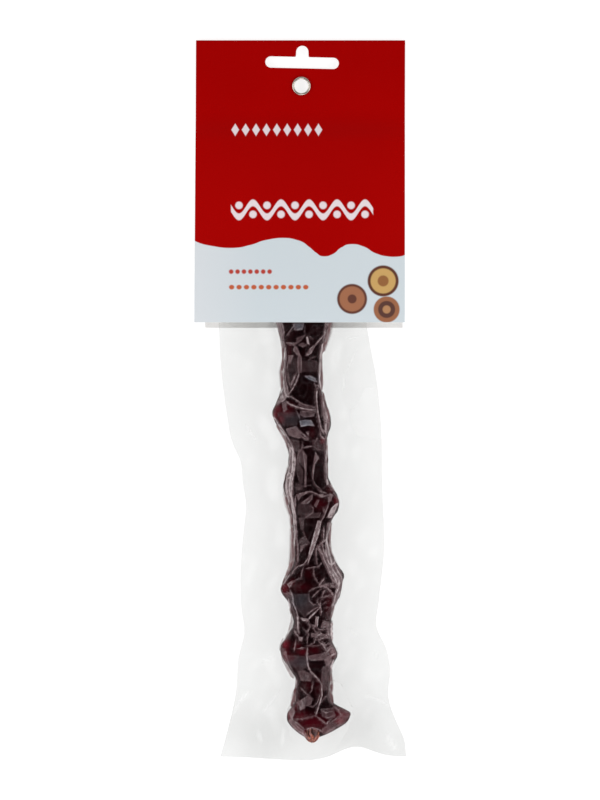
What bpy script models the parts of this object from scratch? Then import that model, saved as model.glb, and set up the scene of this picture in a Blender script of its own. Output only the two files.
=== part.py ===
"""Churchkhela in a clear vacuum bag with a folded header card, lying on its back.

X runs across the pack, Y along it with the card at +Y, and Z up from the surface it lies on.
The origin is on that surface, under the middle of the pack. Lengths are in metres.
"""

import math
from collections import namedtuple

import bmesh
import bpy
import numpy as np

MM = 0.001
CLEARANCE = 0.3 * MM  # between pieces that touch in the real pack
SHARP_ANGLE = math.radians(50)

# The sweet: walnut halves strung in a row and dipped in thickened juice until they share one skin.
AXIS_HEIGHT = 11.4 * MM
AXIS_STATIONS = np.array([-150, -120, -90, -54, -22, 22, 62]) * MM
AXIS_SIDEWAYS = np.array([5.3, 5.8, 5.5, 5.0, 2.9, 1.1, 0.6]) * MM
ROD_RADIUS = 8.0 * MM
UNEVENNESS = 0.35 * MM
UNEVEN_LENGTH = 9.0 * MM
ROD_CROWN = 59.5 * MM  # upper end, under the card
ROD_TIP = -146.0 * MM  # lower end of the skin
CROWN_CAP_START = 51.0 * MM
CROWN_FULLNESS = 1.0  # 1 is a round end, and 2 is a blunt point
TIP_CAP_START = -137.6 * MM
TIP_FULLNESS = 1.2

# Each nut, or lump beside one, pushes the skin out: how far from the rod's axis on each side, half
# its length along the rod, and how much further up its right side sits than its left.
Nut = namedtuple("Nut", "station right front left back half_length skew")
NUT_TIP_ROUNDING = 0.22  # as shares of half the nut's length
NUT_FOOT_SHARPNESS = 7.0
NUTS = (
    Nut(35.6 * MM, 12.2 * MM, 11.4 * MM, 11.8 * MM, 9.2 * MM, 12.0 * MM, -1.0 * MM),
    Nut(-7.2 * MM, 11.8 * MM, 11.6 * MM, 14.3 * MM, 9.9 * MM, 9.6 * MM, -1.2 * MM),
    Nut(-25.0 * MM, 9.2 * MM, 8.0 * MM, 8.0 * MM, 8.0 * MM, 9.0 * MM, 0.0 * MM),
    Nut(-41.0 * MM, 13.2 * MM, 10.9 * MM, 11.2 * MM, 10.2 * MM, 8.6 * MM, -3.0 * MM),
    Nut(-78.9 * MM, 14.0 * MM, 11.2 * MM, 13.8 * MM, 10.2 * MM, 9.0 * MM, 2.4 * MM),
    Nut(-85.5 * MM, 10.3 * MM, 8.0 * MM, 8.0 * MM, 8.0 * MM, 5.5 * MM, 0.0 * MM),
    Nut(-108.0 * MM, 8.8 * MM, 11.0 * MM, 13.9 * MM, 10.2 * MM, 7.6 * MM, -1.7 * MM),
    Nut(-109.4 * MM, 10.4 * MM, 8.0 * MM, 8.0 * MM, 8.0 * MM, 4.2 * MM, 0.0 * MM),
    Nut(-113.0 * MM, 8.0 * MM, 8.4 * MM, 10.8 * MM, 8.0 * MM, 5.0 * MM, 0.0 * MM),
    Nut(-134.8 * MM, 12.6 * MM, 8.0 * MM, 9.5 * MM, 8.0 * MM, 3.4 * MM, 0.0 * MM),
    Nut(-139.0 * MM, 14.6 * MM, 9.8 * MM, 10.6 * MM, 9.8 * MM, 7.5 * MM, 0.0 * MM),
)
RINGS_PER_NUT = 5  # over a nut's whole length
SHORTEST_STRETCH = 2.6 * MM  # between rings where two nuts meet
LONGEST_STRETCH = 6.0 * MM  # between rings where there is no nut
CAP_RINGS = 5
RING_POINTS = 16

# The last walnut half, whose end stands bare out of the skin
KERNEL_CENTRE = (5.3 * MM, -141.1 * MM, AXIS_HEIGHT + 1.6 * MM)
KERNEL_HALF_SIZE = (5.0 * MM, 7.7 * MM, 4.8 * MM)
KERNEL_LOBES = 5
KERNEL_LOBE_DEPTH = 0.09

# The bag: two plies of film welded round the edge and drawn on to the sweet
FILM_THICKNESS = 0.5 * MM
POCKET_ROOM = 0.55 * MM  # between the sweet and the film's inside
POCKET_TIP = -151.0 * MM
POCKET_CROWN = 60.2 * MM
LEFT_EDGE_STATIONS = np.array(
    [-155, -141, -127, -111, -100, -90, -70, -55, -46, -36, -26, -19, -5, 15, 35, 60, 126]
) * MM
LEFT_EDGE = np.array(
    [-34.5, -30.7, -27.6, -26.3, -23.9, -25.1, -25.3, -24.0, -23.1, -24.5, -25.7, -28.8, -31.6, -34.0]
    + [-35.0, -36.4, -37.6]
) * MM
RIGHT_EDGE_STATIONS = np.array(
    [-155, -146, -139, -130, -115, -108, -98, -88, -65, -40, -5, 9, 22, 35, 60, 126]
) * MM
RIGHT_EDGE = np.array(
    [46.1, 45.0, 41.8, 38.6, 39.0, 37.6, 33.2, 34.1, 36.5, 35.8, 34.8, 33.2, 30.8, 28.8, 33.0, 38.6]
) * MM
BAG_TOP = 141.2 * MM
BAG_FOOT = -154.0 * MM
FOOT_SAG = 1.4 * MM  # the lower edge dips below the sweet
FOOT_WAVE = 4.7 * MM  # and swings up once, to the right of it
SEAM_HEIGHT = 10.6 * MM  # of the margins beside the sweet
SEAM_FALL_START = 56.0 * MM
SEAM_FALL_END = 124.0 * MM
MARGIN_DROOP = 4.6 * MM
MARGIN_DROOP_REACH = 40.0 * MM
RIPPLE = 1.1 * MM
RIPPLE_LENGTH = 47.0 * MM
MARGIN_ROWS = 28
MARGIN_COLUMNS = 8
MOUTH_WIDTH = 14.0 * MM  # of the slit between the plies that keeps the pocket open
MOUTH_GAP = 0.2 * MM

# The header card, one strip folded over at the top edge of the pack
CARD_THICKNESS = 0.45 * MM
CARD_TOP = 155.5 * MM
CARD_WIDTH_AT_FOLD = 90.4 * MM
CARD_CENTRE_AT_FOLD = 0.45 * MM
FRONT_FOOT = 33.4 * MM
FRONT_FOOT_WIDTH = 90.5 * MM
FRONT_FOOT_CENTRE = 0.0 * MM
BACK_FOOT = 31.2 * MM
BACK_FOOT_WIDTH = 85.4 * MM
BACK_FOOT_CENTRE = 1.9 * MM
STACK_BACK = 1.05 * MM  # middle of the back leaf where the eyelet clamps it
STACK_FRONT = 2.6 * MM  # middle of the front leaf there
BACK_LIFT_START = 98.0 * MM
BACK_LIFT_END = 122.0 * MM
FRONT_LIFT_START = 127.0 * MM
FRONT_FOOT_HEIGHT = 25.0 * MM
FRONT_LIFT_POWER = 1.25
FRONT_LIFT_EASE = 0.16  # share of its length over which the front leaf starts to rise
FRONT_BOW = 6.0 * MM
CARD_COLUMNS = 8

# The slot for a shop's peg hook, and the eyelet below it
SLOT_CENTRE = (1.1 * MM, 145.8 * MM)
SLOT_LENGTH = 31.8 * MM
SLOT_HEIGHT = 4.9 * MM
SLOT_BUMP_WIDTH = 5.3 * MM
SLOT_BUMP_TOP = 7.3 * MM  # above the slot's centre line
SLOT_TILT = math.radians(-1.3)
EYELET_CENTRE = (0.8 * MM, 135.7 * MM)
EYELET_BORE_RADIUS = 3.1 * MM
EYELET_BARREL_RADIUS = 3.4 * MM
EYELET_RIM_RADIUS = 4.2 * MM
EYELET_RIM_THICKNESS = 0.35 * MM
EYELET_DOME = 0.35 * MM
EYELET_ROUNDING = 0.12 * MM
EYELET_PLAY = 0.2 * MM  # between its rims and the card
EYELET_STEPS = 28
PUNCHED_HOLE_RADIUS = EYELET_BARREL_RADIUS + 0.25 * MM
PUNCHED_HOLE_STEPS = 24
CUT_DEPTH = 8.0 * MM


def curve_through(stations, values, at):
    """A cubic through the given points, whose slope at each is taken from its neighbours."""
    slopes = np.gradient(values, stations)
    at = np.clip(at, stations[0], stations[-1])
    i = np.clip(np.searchsorted(stations, at) - 1, 0, len(stations) - 2)
    span = stations[i + 1] - stations[i]
    u = (at - stations[i]) / span
    ends = values[i] * (2 * u**3 - 3 * u**2 + 1) + values[i + 1] * (3 * u**2 - 2 * u**3)
    return ends + span * (slopes[i] * (u**3 - 2 * u**2 + u) + slopes[i + 1] * (u**3 - u**2))


def ease(start, end, at):
    """0 before start, 1 after end, smooth between."""
    u = np.clip((at - start) / (end - start), 0, 1)
    return u * u * (3 - 2 * u)


def axis_sideways(y):
    return curve_through(AXIS_STATIONS, AXIS_SIDEWAYS, y)


def nut_bump(u):
    """1 at the nut's middle, nearly straight flanks, and a soft foot at u = 1."""
    foot = NUT_FOOT_SHARPNESS
    flank = 1 + NUT_TIP_ROUNDING - np.sqrt(u * u + NUT_TIP_ROUNDING**2)
    bump = np.log1p(np.exp(foot * flank)) / foot - np.log1p(math.exp(-foot)) / foot
    return np.clip(bump, 0, 1)


def rod_radius(y, angle):
    """Distance from the rod's axis to its skin; the angle turns from the right to the front."""
    right, left = np.maximum(np.cos(angle), 0) ** 2, np.maximum(-np.cos(angle), 0) ** 2
    front, back = np.maximum(np.sin(angle), 0) ** 2, np.maximum(-np.sin(angle), 0) ** 2
    wave = np.sin(2 * angle + y / UNEVEN_LENGTH) + 0.7 * np.sin(3 * angle - 1.8 * y / UNEVEN_LENGTH)
    bare = ROD_RADIUS + UNEVENNESS * wave
    radius = bare
    for nut in NUTS:
        reach = nut.right * right + nut.front * front + nut.left * left + nut.back * back
        u = (y - nut.station - nut.skew * np.cos(angle)) / nut.half_length
        radius = radius + (reach - bare) * nut_bump(u)
    return radius


def closed_loft(rings, first_pole, last_pole):
    """A mesh over rings of points, each ring joined to the next and the ends closed on their poles."""
    mesh = bmesh.new()
    made = [[mesh.verts.new(point) for point in ring] for ring in rings]
    count = len(made[0])
    for lower, upper in zip(made, made[1:]):
        for i in range(count):
            j = (i + 1) % count
            mesh.faces.new((lower[i], lower[j], upper[j], upper[i]))
    for ring, pole in ((made[0], first_pole), (made[-1], last_pole)):
        end = mesh.verts.new(pole)
        for i in range(count):
            mesh.faces.new((ring[i], ring[(i + 1) % count], end))
    bmesh.ops.recalc_face_normals(mesh, faces=mesh.faces)
    return mesh


def body_stations():
    """Where the rings lie along the rod: evenly over each nut, and between two limits elsewhere."""
    share = np.linspace(-1, 1, RINGS_PER_NUT)
    stations = np.concatenate([nut.station + nut.half_length * share for nut in NUTS])
    marks = [TIP_CAP_START]
    for station in np.sort(stations):
        if marks[-1] + SHORTEST_STRETCH < station < CROWN_CAP_START - SHORTEST_STRETCH:
            marks.append(station)
    marks.append(CROWN_CAP_START)
    filled = [marks[:1]]
    for here, there in zip(marks, marks[1:]):
        steps = math.ceil((there - here) / LONGEST_STRETCH)
        filled.append(np.linspace(here, there, steps + 1)[1:])
    return np.concatenate(filled)


def rod_mesh(offset, tip, crown):
    """The sweet's own form, grown by an offset and closed with rounded ends."""
    turns = np.radians(np.linspace(90, 0, CAP_RINGS, endpoint=False))[1:]
    body = body_stations()
    foot = TIP_CAP_START + (tip - TIP_CAP_START) * np.sin(turns)
    head = CROWN_CAP_START + (crown - CROWN_CAP_START) * np.sin(turns[::-1])
    stations = np.concatenate([foot, body, head])
    foot_shrink, head_shrink = np.cos(turns) ** TIP_FULLNESS, np.cos(turns[::-1]) ** CROWN_FULLNESS
    shrink = np.concatenate([foot_shrink, np.ones(len(body)), head_shrink])
    angle = np.linspace(0, 2 * math.pi, RING_POINTS, endpoint=False)
    rings = []
    for y, share in zip(stations, shrink):
        radius = (rod_radius(y, angle) + offset) * share
        across = axis_sideways(y) + radius * np.cos(angle)
        rings.append(np.column_stack([across, np.full_like(angle, y), AXIS_HEIGHT + radius * np.sin(angle)]))
    poles = [(float(axis_sideways(y)), y, AXIS_HEIGHT) for y in (tip, crown)]
    return closed_loft(rings, *poles)


def kernel_mesh(offset):
    """A walnut kernel: a ball drawn out along the rod, with rounded lobes and a furrow round each."""
    mesh = bmesh.new()
    bmesh.ops.create_uvsphere(mesh, u_segments=20, v_segments=12, radius=1.0)
    for vert in mesh.verts:
        x, y, z = vert.co.x, vert.co.z, -vert.co.y
        turn = math.atan2(z, x)
        grow = 1 + KERNEL_LOBE_DEPTH * math.cos(KERNEL_LOBES * turn) * (1 - y * y)
        vert.co = (
            x * grow * (KERNEL_HALF_SIZE[0] + offset),
            y * (KERNEL_HALF_SIZE[1] + offset),
            z * grow * (KERNEL_HALF_SIZE[2] + offset),
        )
    return mesh


def seam_height(x, y):
    """Height of the film's margins: level beside the sweet, drooping outwards, flat under the eyelet."""
    clamped = ease(SEAM_FALL_START, SEAM_FALL_END, y)
    out = (x - axis_sideways(y)) / MARGIN_DROOP_REACH
    droop = MARGIN_DROOP * ease(0.15, 1.0, np.abs(out))
    ripple = RIPPLE * out * np.abs(out) * np.sin(2 * math.pi * (y / RIPPLE_LENGTH + 0.2 * np.sign(out)))
    free = SEAM_HEIGHT - droop + ripple
    level = (STACK_BACK + STACK_FRONT) / 2
    return free + (level - free) * clamped


def bag_foot(x):
    """The bag's lower edge, which swings up in a wave at the right."""
    sag = FOOT_SAG * np.exp(-(((x - 1 * MM) / (20 * MM)) ** 2))
    wave = FOOT_WAVE * np.exp(-(((x - 24 * MM) / (10 * MM)) ** 2))
    return BAG_FOOT - sag + wave


def grid_mesh(points):
    """An open sheet over a grid of points given row by row, facing up where rows run along +Y."""
    mesh = bmesh.new()
    made = [[mesh.verts.new(point) for point in row] for row in points]
    for lower, upper in zip(made, made[1:]):
        for i in range(len(lower) - 1):
            mesh.faces.new((lower[i], lower[i + 1], upper[i + 1], upper[i]))
    return mesh


def margin_mesh():
    """The welded film as one flat sheet, before the pocket for the sweet is joined to it."""
    share = np.linspace(0, 1, MARGIN_COLUMNS)
    rows = []
    for t in np.linspace(0, 1, MARGIN_ROWS):
        level = BAG_FOOT + (BAG_TOP - BAG_FOOT) * t
        left = curve_through(LEFT_EDGE_STATIONS, LEFT_EDGE, level)
        right = curve_through(RIGHT_EDGE_STATIONS, RIGHT_EDGE, level)
        x = left + (right - left) * share
        y = level + (bag_foot(x) - BAG_FOOT) * (1 - t) ** 8
        rows.append(np.column_stack([x, y, seam_height(x, y)]))
    return grid_mesh(rows)


def front_leaf_height(y):
    """Middle of the front leaf: clamped flat at the eyelet, then rising over the sweet."""
    share = np.clip((FRONT_LIFT_START - y) / (FRONT_LIFT_START - FRONT_FOOT), 0, 1)
    gentle = share * ease(0.0, FRONT_LIFT_EASE, share)
    return STACK_FRONT + (FRONT_FOOT_HEIGHT - STACK_FRONT) * (1 - (1 - gentle) ** FRONT_LIFT_POWER)


def back_leaf_height(y):
    """Middle of the back leaf: flat on the table, and lifted to the eyelet's stack."""
    flat = CARD_THICKNESS / 2
    return flat + (STACK_BACK - flat) * ease(BACK_LIFT_START, BACK_LIFT_END, y)


def card_rows():
    """The card's middle surface, from the back leaf's foot over the fold to the front leaf's foot."""
    fold_radius = (STACK_FRONT - STACK_BACK) / 2
    fold_start = CARD_TOP - fold_radius - CARD_THICKNESS / 2
    clamped = [EYELET_CENTRE[1], SLOT_CENTRE[1]]
    back = [*np.linspace(BACK_FOOT, BACK_LIFT_START, 4), *np.linspace(BACK_LIFT_START, BACK_LIFT_END, 5)[1:]]
    back += clamped
    front = [*clamped[::-1], *np.linspace(FRONT_LIFT_START, FRONT_FOOT, 17)]
    turns = np.radians(np.linspace(-90, 90, 7))
    share = np.linspace(-0.5, 0.5, CARD_COLUMNS)
    path = [(y, back_leaf_height(y), BACK_FOOT) for y in back]
    path += [
        (fold_start + fold_radius * math.cos(a), STACK_BACK + fold_radius * (1 + math.sin(a)), None)
        for a in turns
    ]
    path += [(y, front_leaf_height(y), FRONT_FOOT) for y in front]
    widths = {BACK_FOOT: BACK_FOOT_WIDTH, FRONT_FOOT: FRONT_FOOT_WIDTH}
    centres = {BACK_FOOT: BACK_FOOT_CENTRE, FRONT_FOOT: FRONT_FOOT_CENTRE}
    rows = []
    for y, z, foot in path:
        down = 0.0 if foot is None else (fold_start - y) / (fold_start - foot)
        width = CARD_WIDTH_AT_FOLD + (widths.get(foot, 0) - CARD_WIDTH_AT_FOLD) * down
        centre = CARD_CENTRE_AT_FOLD + (centres.get(foot, 0) - CARD_CENTRE_AT_FOLD) * down
        lift = max(0.0, z - STACK_FRONT) / (FRONT_FOOT_HEIGHT - STACK_FRONT)
        bow = FRONT_BOW * lift * (2 * share) ** 2
        rows.append(np.column_stack([centre + width * share, np.full_like(share, y), z - bow]))
    return rows


def arc(centre, radius, start, end, steps):
    """Points along an arc, the angles in degrees."""
    for angle in np.radians(np.linspace(start, end, steps)):
        yield centre[0] + radius * math.cos(angle), centre[1] + radius * math.sin(angle)


def slot_outline():
    """A peg-hook slot: a long hole with round ends and a round bump over its middle."""
    end = SLOT_HEIGHT / 2
    reach = SLOT_LENGTH / 2 - end
    bump = SLOT_BUMP_WIDTH / 2
    right_end = arc((reach, 0), end, -90, 90, 9)
    crest = arc((0, SLOT_BUMP_TOP - bump), bump, 0, 180, 11)
    left_end = arc((-reach, 0), end, 90, 270, 9)
    return [*right_end, (bump, end), *crest, (-bump, end), *left_end]


def add_object(name, mesh, collection, colour=None, roughness=0.5, metallic=0.0):
    """Puts a bmesh in the scene as a named object with its own material."""
    data = bpy.data.meshes.new(name)
    mesh.to_mesh(data)
    mesh.free()
    made = bpy.data.objects.new(name, data)
    collection.objects.link(made)
    if colour:
        material = bpy.data.materials.new(name)
        material.use_nodes = True
        shader = material.node_tree.nodes["Principled BSDF"]
        shader.inputs["Base Color"].default_value = colour
        shader.inputs["Roughness"].default_value = roughness
        shader.inputs["Metallic"].default_value = metallic
        shader.inputs["Alpha"].default_value = colour[3]
        data.materials.append(material)
    return made


def hide_cutter(cutter):
    cutter.hide_render = True
    cutter.display_type = "WIRE"
    return cutter


def prism_cutter(name, outline, location, tilt, collection):
    """A flat outline, extruded through the whole stack, as a mesh."""
    curve = bpy.data.curves.new(name, "CURVE")
    curve.dimensions = "2D"
    curve.fill_mode = "BOTH"
    curve.extrude = CUT_DEPTH
    spline = curve.splines.new("POLY")
    spline.points.add(len(outline) - 1)
    spline.points.foreach_set("co", [value for x, y in outline for value in (x, y, 0, 1)])
    spline.use_cyclic_u = True
    drawn = bpy.data.objects.new(name + "_outline", curve)
    drawn.location = (*location, 0)
    drawn.rotation_euler = (0, 0, tilt)
    collection.objects.link(drawn)
    bpy.context.view_layer.update()
    evaluated = drawn.evaluated_get(bpy.context.evaluated_depsgraph_get())
    made = bpy.data.objects.new(name, bpy.data.meshes.new_from_object(evaluated))
    made.matrix_world = drawn.matrix_world
    mesh = bmesh.new()
    mesh.from_mesh(made.data)
    bmesh.ops.remove_doubles(mesh, verts=mesh.verts, dist=0.001 * MM)
    bmesh.ops.recalc_face_normals(mesh, faces=mesh.faces)
    mesh.to_mesh(made.data)
    mesh.free()
    collection.objects.link(made)
    bpy.data.objects.remove(drawn)
    return hide_cutter(made)


def boolean(target, other, operation):
    change = target.modifiers.new(other.name, "BOOLEAN")
    change.operation = operation
    change.solver = "EXACT"
    change.object = other


def smooth(piece):
    """Shades a round piece smooth, apart from its real edges."""
    piece.data.shade_smooth()
    piece.data.set_sharp_from_angle(angle=SHARP_ANGLE)
    return piece


def thicken(sheet, thickness):
    change = sheet.modifiers.new("thickness", "SOLIDIFY")
    change.thickness = thickness
    change.offset = 0.0


def make_churchkhela(parts, cutters):
    """The strung nuts under their skin, with a socket where the last kernel stands bare."""
    must = (0.045, 0.006, 0.008, 1)
    sweet = add_object("churchkhela", rod_mesh(0.0, ROD_TIP, ROD_CROWN), parts, must, 0.42)
    socket = add_object("kernel_socket", kernel_mesh(CLEARANCE), cutters)
    socket.location = KERNEL_CENTRE
    boolean(sweet, hide_cutter(socket), "DIFFERENCE")
    return smooth(sweet)


def make_walnut_kernel(parts):
    kernel = add_object("walnut_kernel", kernel_mesh(0.0), parts, (0.42, 0.12, 0.035, 1), 0.5)
    kernel.location = KERNEL_CENTRE
    return smooth(kernel)


def make_film_bag(parts, cutters, punched_hole):
    """The welded sheet with the sweet's form joined on, hollowed for the sweet.

    A slit between the plies runs from the pocket to the top edge, hidden under the card.
    """
    bag = add_object("film_bag", margin_mesh(), parts, (0.92, 0.92, 0.92, 0.25), 0.12)
    thicken(bag, FILM_THICKNESS)
    outside = rod_mesh(
        POCKET_ROOM + FILM_THICKNESS, POCKET_TIP - FILM_THICKNESS, POCKET_CROWN + FILM_THICKNESS
    )
    skin = add_object("bag_skin", outside, cutters)
    pocket = add_object("bag_pocket", rod_mesh(POCKET_ROOM, POCKET_TIP, POCKET_CROWN), cutters)
    boolean(bag, hide_cutter(skin), "UNION")
    boolean(bag, hide_cutter(pocket), "DIFFERENCE")
    boolean(bag, make_mouth(cutters), "DIFFERENCE")
    boolean(bag, punched_hole, "DIFFERENCE")
    return smooth(bag)


def make_mouth(cutters):
    """A thin slit that follows the film's middle surface from the pocket to the bag's top edge."""
    rows = []
    for y in np.linspace(CROWN_CAP_START, BAG_TOP + 2 * MM, 16):
        x = axis_sideways(y) + MOUTH_WIDTH * np.linspace(-0.5, 0.5, 3)
        rows.append(np.column_stack([x, np.full(3, y), seam_height(x, np.full(3, y))]))
    mouth = add_object("bag_mouth", grid_mesh(rows), cutters)
    thicken(mouth, MOUTH_GAP)
    return hide_cutter(mouth)


def make_header_card(parts, cutters, punched_hole):
    """The printed strip of card, folded at the top, with the slot and the eyelet's hole punched through."""
    card = add_object("header_card", grid_mesh(card_rows()), parts, (0.36, 0.002, 0.002, 1), 0.38)
    thicken(card, CARD_THICKNESS)
    slot = prism_cutter("peg_slot", slot_outline(), SLOT_CENTRE, SLOT_TILT, cutters)
    boolean(card, slot, "DIFFERENCE")
    boolean(card, punched_hole, "DIFFERENCE")
    return card


def make_eyelet(parts):
    """A turned metal eyelet: a domed rim, a barrel through the stack, and a rolled back rim."""
    under = STACK_BACK - CARD_THICKNESS / 2 - EYELET_PLAY
    over = STACK_FRONT + CARD_THICKNESS / 2 + EYELET_PLAY
    rim, top = EYELET_RIM_THICKNESS, over + EYELET_RIM_THICKNESS + EYELET_DOME
    middle = (EYELET_BORE_RADIUS + EYELET_RIM_RADIUS) / 2
    profile = [
        (middle + EYELET_ROUNDING, top),
        (EYELET_RIM_RADIUS - EYELET_ROUNDING, over + rim),
        (EYELET_RIM_RADIUS, over),
        (EYELET_BARREL_RADIUS, over),
        (EYELET_BARREL_RADIUS, under),
        (EYELET_RIM_RADIUS - EYELET_ROUNDING, under),
        (EYELET_RIM_RADIUS - 2 * EYELET_ROUNDING, under - rim),
        (middle, 0.0),
        (EYELET_BORE_RADIUS + EYELET_ROUNDING, EYELET_ROUNDING),
        (EYELET_BORE_RADIUS, under - EYELET_ROUNDING),
        (EYELET_BORE_RADIUS, over + rim - EYELET_ROUNDING),
        (EYELET_BORE_RADIUS + EYELET_ROUNDING, top - EYELET_ROUNDING),
    ]
    mesh = bmesh.new()
    loop = [mesh.verts.new((x, 0, z)) for x, z in profile]
    for here, there in zip(loop, loop[1:] + loop[:1]):
        mesh.edges.new((here, there))
    eyelet = add_object("eyelet", mesh, parts, (0.62, 0.60, 0.57, 1), 0.3, 1.0)
    turn = eyelet.modifiers.new("turned", "SCREW")
    turn.steps = turn.render_steps = EYELET_STEPS
    turn.use_merge_vertices = True
    turn.merge_threshold = 0.01 * MM
    eyelet.location = (*EYELET_CENTRE, 0)
    return smooth(eyelet)


def new_collection(name):
    made = bpy.data.collections.new(name)
    bpy.context.scene.collection.children.link(made)
    return made


def main():
    for old in list(bpy.data.objects):
        bpy.data.objects.remove(old)
    parts, cutters = new_collection("churchkhela_pack"), new_collection("cutters")
    circle = [*arc((0, 0), PUNCHED_HOLE_RADIUS, 0, 360, PUNCHED_HOLE_STEPS + 1)][:-1]
    hole = prism_cutter("punched_hole", circle, EYELET_CENTRE, 0, cutters)
    pack = bpy.data.objects.new("pack", None)
    parts.objects.link(pack)
    for piece in (
        make_churchkhela(parts, cutters),
        make_walnut_kernel(parts),
        make_film_bag(parts, cutters, hole),
        make_header_card(parts, cutters, hole),
        make_eyelet(parts),
    ):
        piece.parent = pack


main()
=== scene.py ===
"""Looks of a churchkhela in a clear vacuum bag that hangs from a folded header card.

The pack lies on its back. X runs across it, Y along it with the card at +Y, and Z up from the
surface it lies on. Lengths are in metres, and places on the front are given as the picture shows them.
"""

import math

import bpy
import numpy as np
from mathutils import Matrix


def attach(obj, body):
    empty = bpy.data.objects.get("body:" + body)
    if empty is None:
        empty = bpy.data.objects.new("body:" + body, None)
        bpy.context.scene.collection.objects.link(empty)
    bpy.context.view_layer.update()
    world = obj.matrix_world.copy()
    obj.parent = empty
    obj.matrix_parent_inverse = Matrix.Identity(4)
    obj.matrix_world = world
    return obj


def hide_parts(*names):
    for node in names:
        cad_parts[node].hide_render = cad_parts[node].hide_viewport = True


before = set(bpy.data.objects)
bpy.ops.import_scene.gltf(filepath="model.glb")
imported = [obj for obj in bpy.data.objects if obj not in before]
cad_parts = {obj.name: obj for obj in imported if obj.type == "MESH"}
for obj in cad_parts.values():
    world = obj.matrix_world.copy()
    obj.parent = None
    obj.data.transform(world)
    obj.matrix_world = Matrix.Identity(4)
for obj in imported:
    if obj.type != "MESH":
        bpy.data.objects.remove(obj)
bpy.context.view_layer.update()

# The churchkhela: walnut halves strung in a row and dipped again and again in thickened dark fruit
# juice, until one tacky coat covers them. It is near black where thick, and deep red over the nuts'
# tips, where it is thin.
MM = 0.001
AXIS_HEIGHT = 11.4 * MM
AXIS_STATIONS = np.array([-150, -120, -90, -54, -22, 22, 62]) * MM
AXIS_SIDEWAYS = np.array([5.3, 5.8, 5.5, 5.0, 2.9, 1.1, 0.6]) * MM
ROD_RADIUS = 8.0 * MM
UNEVENNESS = 0.35 * MM
UNEVEN_LENGTH = 9.0 * MM
SECOND_WAVE = 0.7  # its size beside the first, and its pace along the rod
SECOND_WAVE_PACE = 1.8
ROD_CROWN = 59.5 * MM
ROD_TIP = -146.0 * MM
CROWN_CAP_START = 51.0 * MM
TIP_CAP_START = -137.6 * MM
CROWN_FULLNESS = 1.0
TIP_FULLNESS = 1.2
NUT_TIP_ROUNDING = 0.22
NUT_FOOT_SHARPNESS = 7.0
# Each nut or lump, in millimetres: its station, its reach to the right, front, left and back, half
# its length, and how much further up its right side sits
NUTS = (
    (35.6, 12.2, 11.4, 11.8, 9.2, 12.0, -1.0),
    (-7.2, 11.8, 11.6, 14.3, 9.9, 9.6, -1.2),
    (-25.0, 9.2, 8.0, 8.0, 8.0, 9.0, 0.0),
    (-41.0, 13.2, 10.9, 11.2, 10.2, 8.6, -3.0),
    (-78.9, 14.0, 11.2, 13.8, 10.2, 9.0, 2.4),
    (-85.5, 10.3, 8.0, 8.0, 8.0, 5.5, 0.0),
    (-108.0, 8.8, 11.0, 13.9, 10.2, 7.6, -1.7),
    (-109.4, 10.4, 8.0, 8.0, 8.0, 4.2, 0.0),
    (-113.0, 8.0, 8.4, 10.8, 8.0, 5.0, 0.0),
    (-134.8, 12.6, 8.0, 9.5, 8.0, 3.4, 0.0),
    (-139.0, 14.6, 9.8, 10.6, 9.8, 7.5, 0.0),
)
COAT_ROW = 0.55 * MM
COAT_COLUMNS = 112
CAP_ROWS = 14
COAT_LUMPS = 0.16 * MM
COAT_LUMP_LENGTH = 7 * MM
COAT_GRAIN = 0.05 * MM
COAT_GRAIN_LENGTH = 1.8 * MM
WAVE_LENGTHS = (0.7, 1.5)  # the range of the seeded waves' lengths, as shares of the one asked for
KERNEL_CENTRE = np.array([5.5, -139.9, 13.0]) * MM

# The notch where the coat has come off in front of the last kernel: the stations where it starts and
# is whole, how much the lumps fray its edge, and the least share of the radius that it leaves
NOTCH_DEPTH = 3.6 * MM
NOTCH_HALF_WIDTH = 4.2 * MM
NOTCH_START = -140.6 * MM
NOTCH_WHOLE = -142.2 * MM
NOTCH_FRAYING = 0.4
NOTCH_LEAVES = 0.3

# The picture's scale and middle, and the camera's height, which carry a place seen on the front into
# the pack's own frame
PICTURE_STEP = 0.4325 * MM
PICTURE_MIDDLE = (299.5, 400.0)
CAMERA_HEIGHT = 4.0

# Thin red places of the coat: where each is seen, half its width and height, and how red it is
RED_PLACES = (
    (277.5, 409, 5, 6, 1.0), (290, 407, 6, 5, 0.35), (324, 398, 3, 8, 0.7), (323, 441, 3, 3, 0.9),
    (329, 412, 3, 10, 0.9), (281, 419, 4, 5, 0.8), (337, 500, 3.5, 6, 1.0), (321, 504, 8, 7, 0.35),
    (331, 490, 5, 4, 0.4), (312, 433, 4, 6, 0.22), (289, 350, 3, 12, 0.22),
    (296, 556, 2.5, 12, 0.3), (309, 574, 6, 6, 0.2), (301, 587, 11, 6, 0.28), (284, 588, 5, 7, 1.0),
    (330, 606, 5, 12, 0.4), (284.5, 644, 5, 6, 1.7), (302, 652, 7, 4, 0.7), (285, 655, 5, 12, 0.8),
    (314, 650, 8, 5, 0.35), (334, 652, 5, 8, 0.5), (294, 662, 9, 9, 0.2), (318, 688, 5, 10, 0.22),
    (308, 686, 7, 6, 0.25), (295, 704, 4, 10, 0.75), (340, 721, 6, 4, 1.3), (343, 714, 12, 9, 0.8),
    (312, 723, 18, 9, 0.66), (300, 716, 9, 6, 0.7), (289, 716, 4, 9, 0.7), (306, 733, 5, 4, 1.2),
    (325, 729, 10, 6, 0.45), (298, 728, 9, 5, 0.5), (297, 646, 5, 5, 0.5), (290, 658, 8, 6, 0.5),
    (286, 412, 8, 6, 0.5), (275, 415, 3, 6, 1.2), (292, 583, 4, 5, 0.5),
)
RED_SHARPNESS = 1.3
RED_FRONT = (-1 * MM, 3 * MM)  # above the rod's axis, where the red places begin and are whole
RED_BEHIND = 0.5
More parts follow.
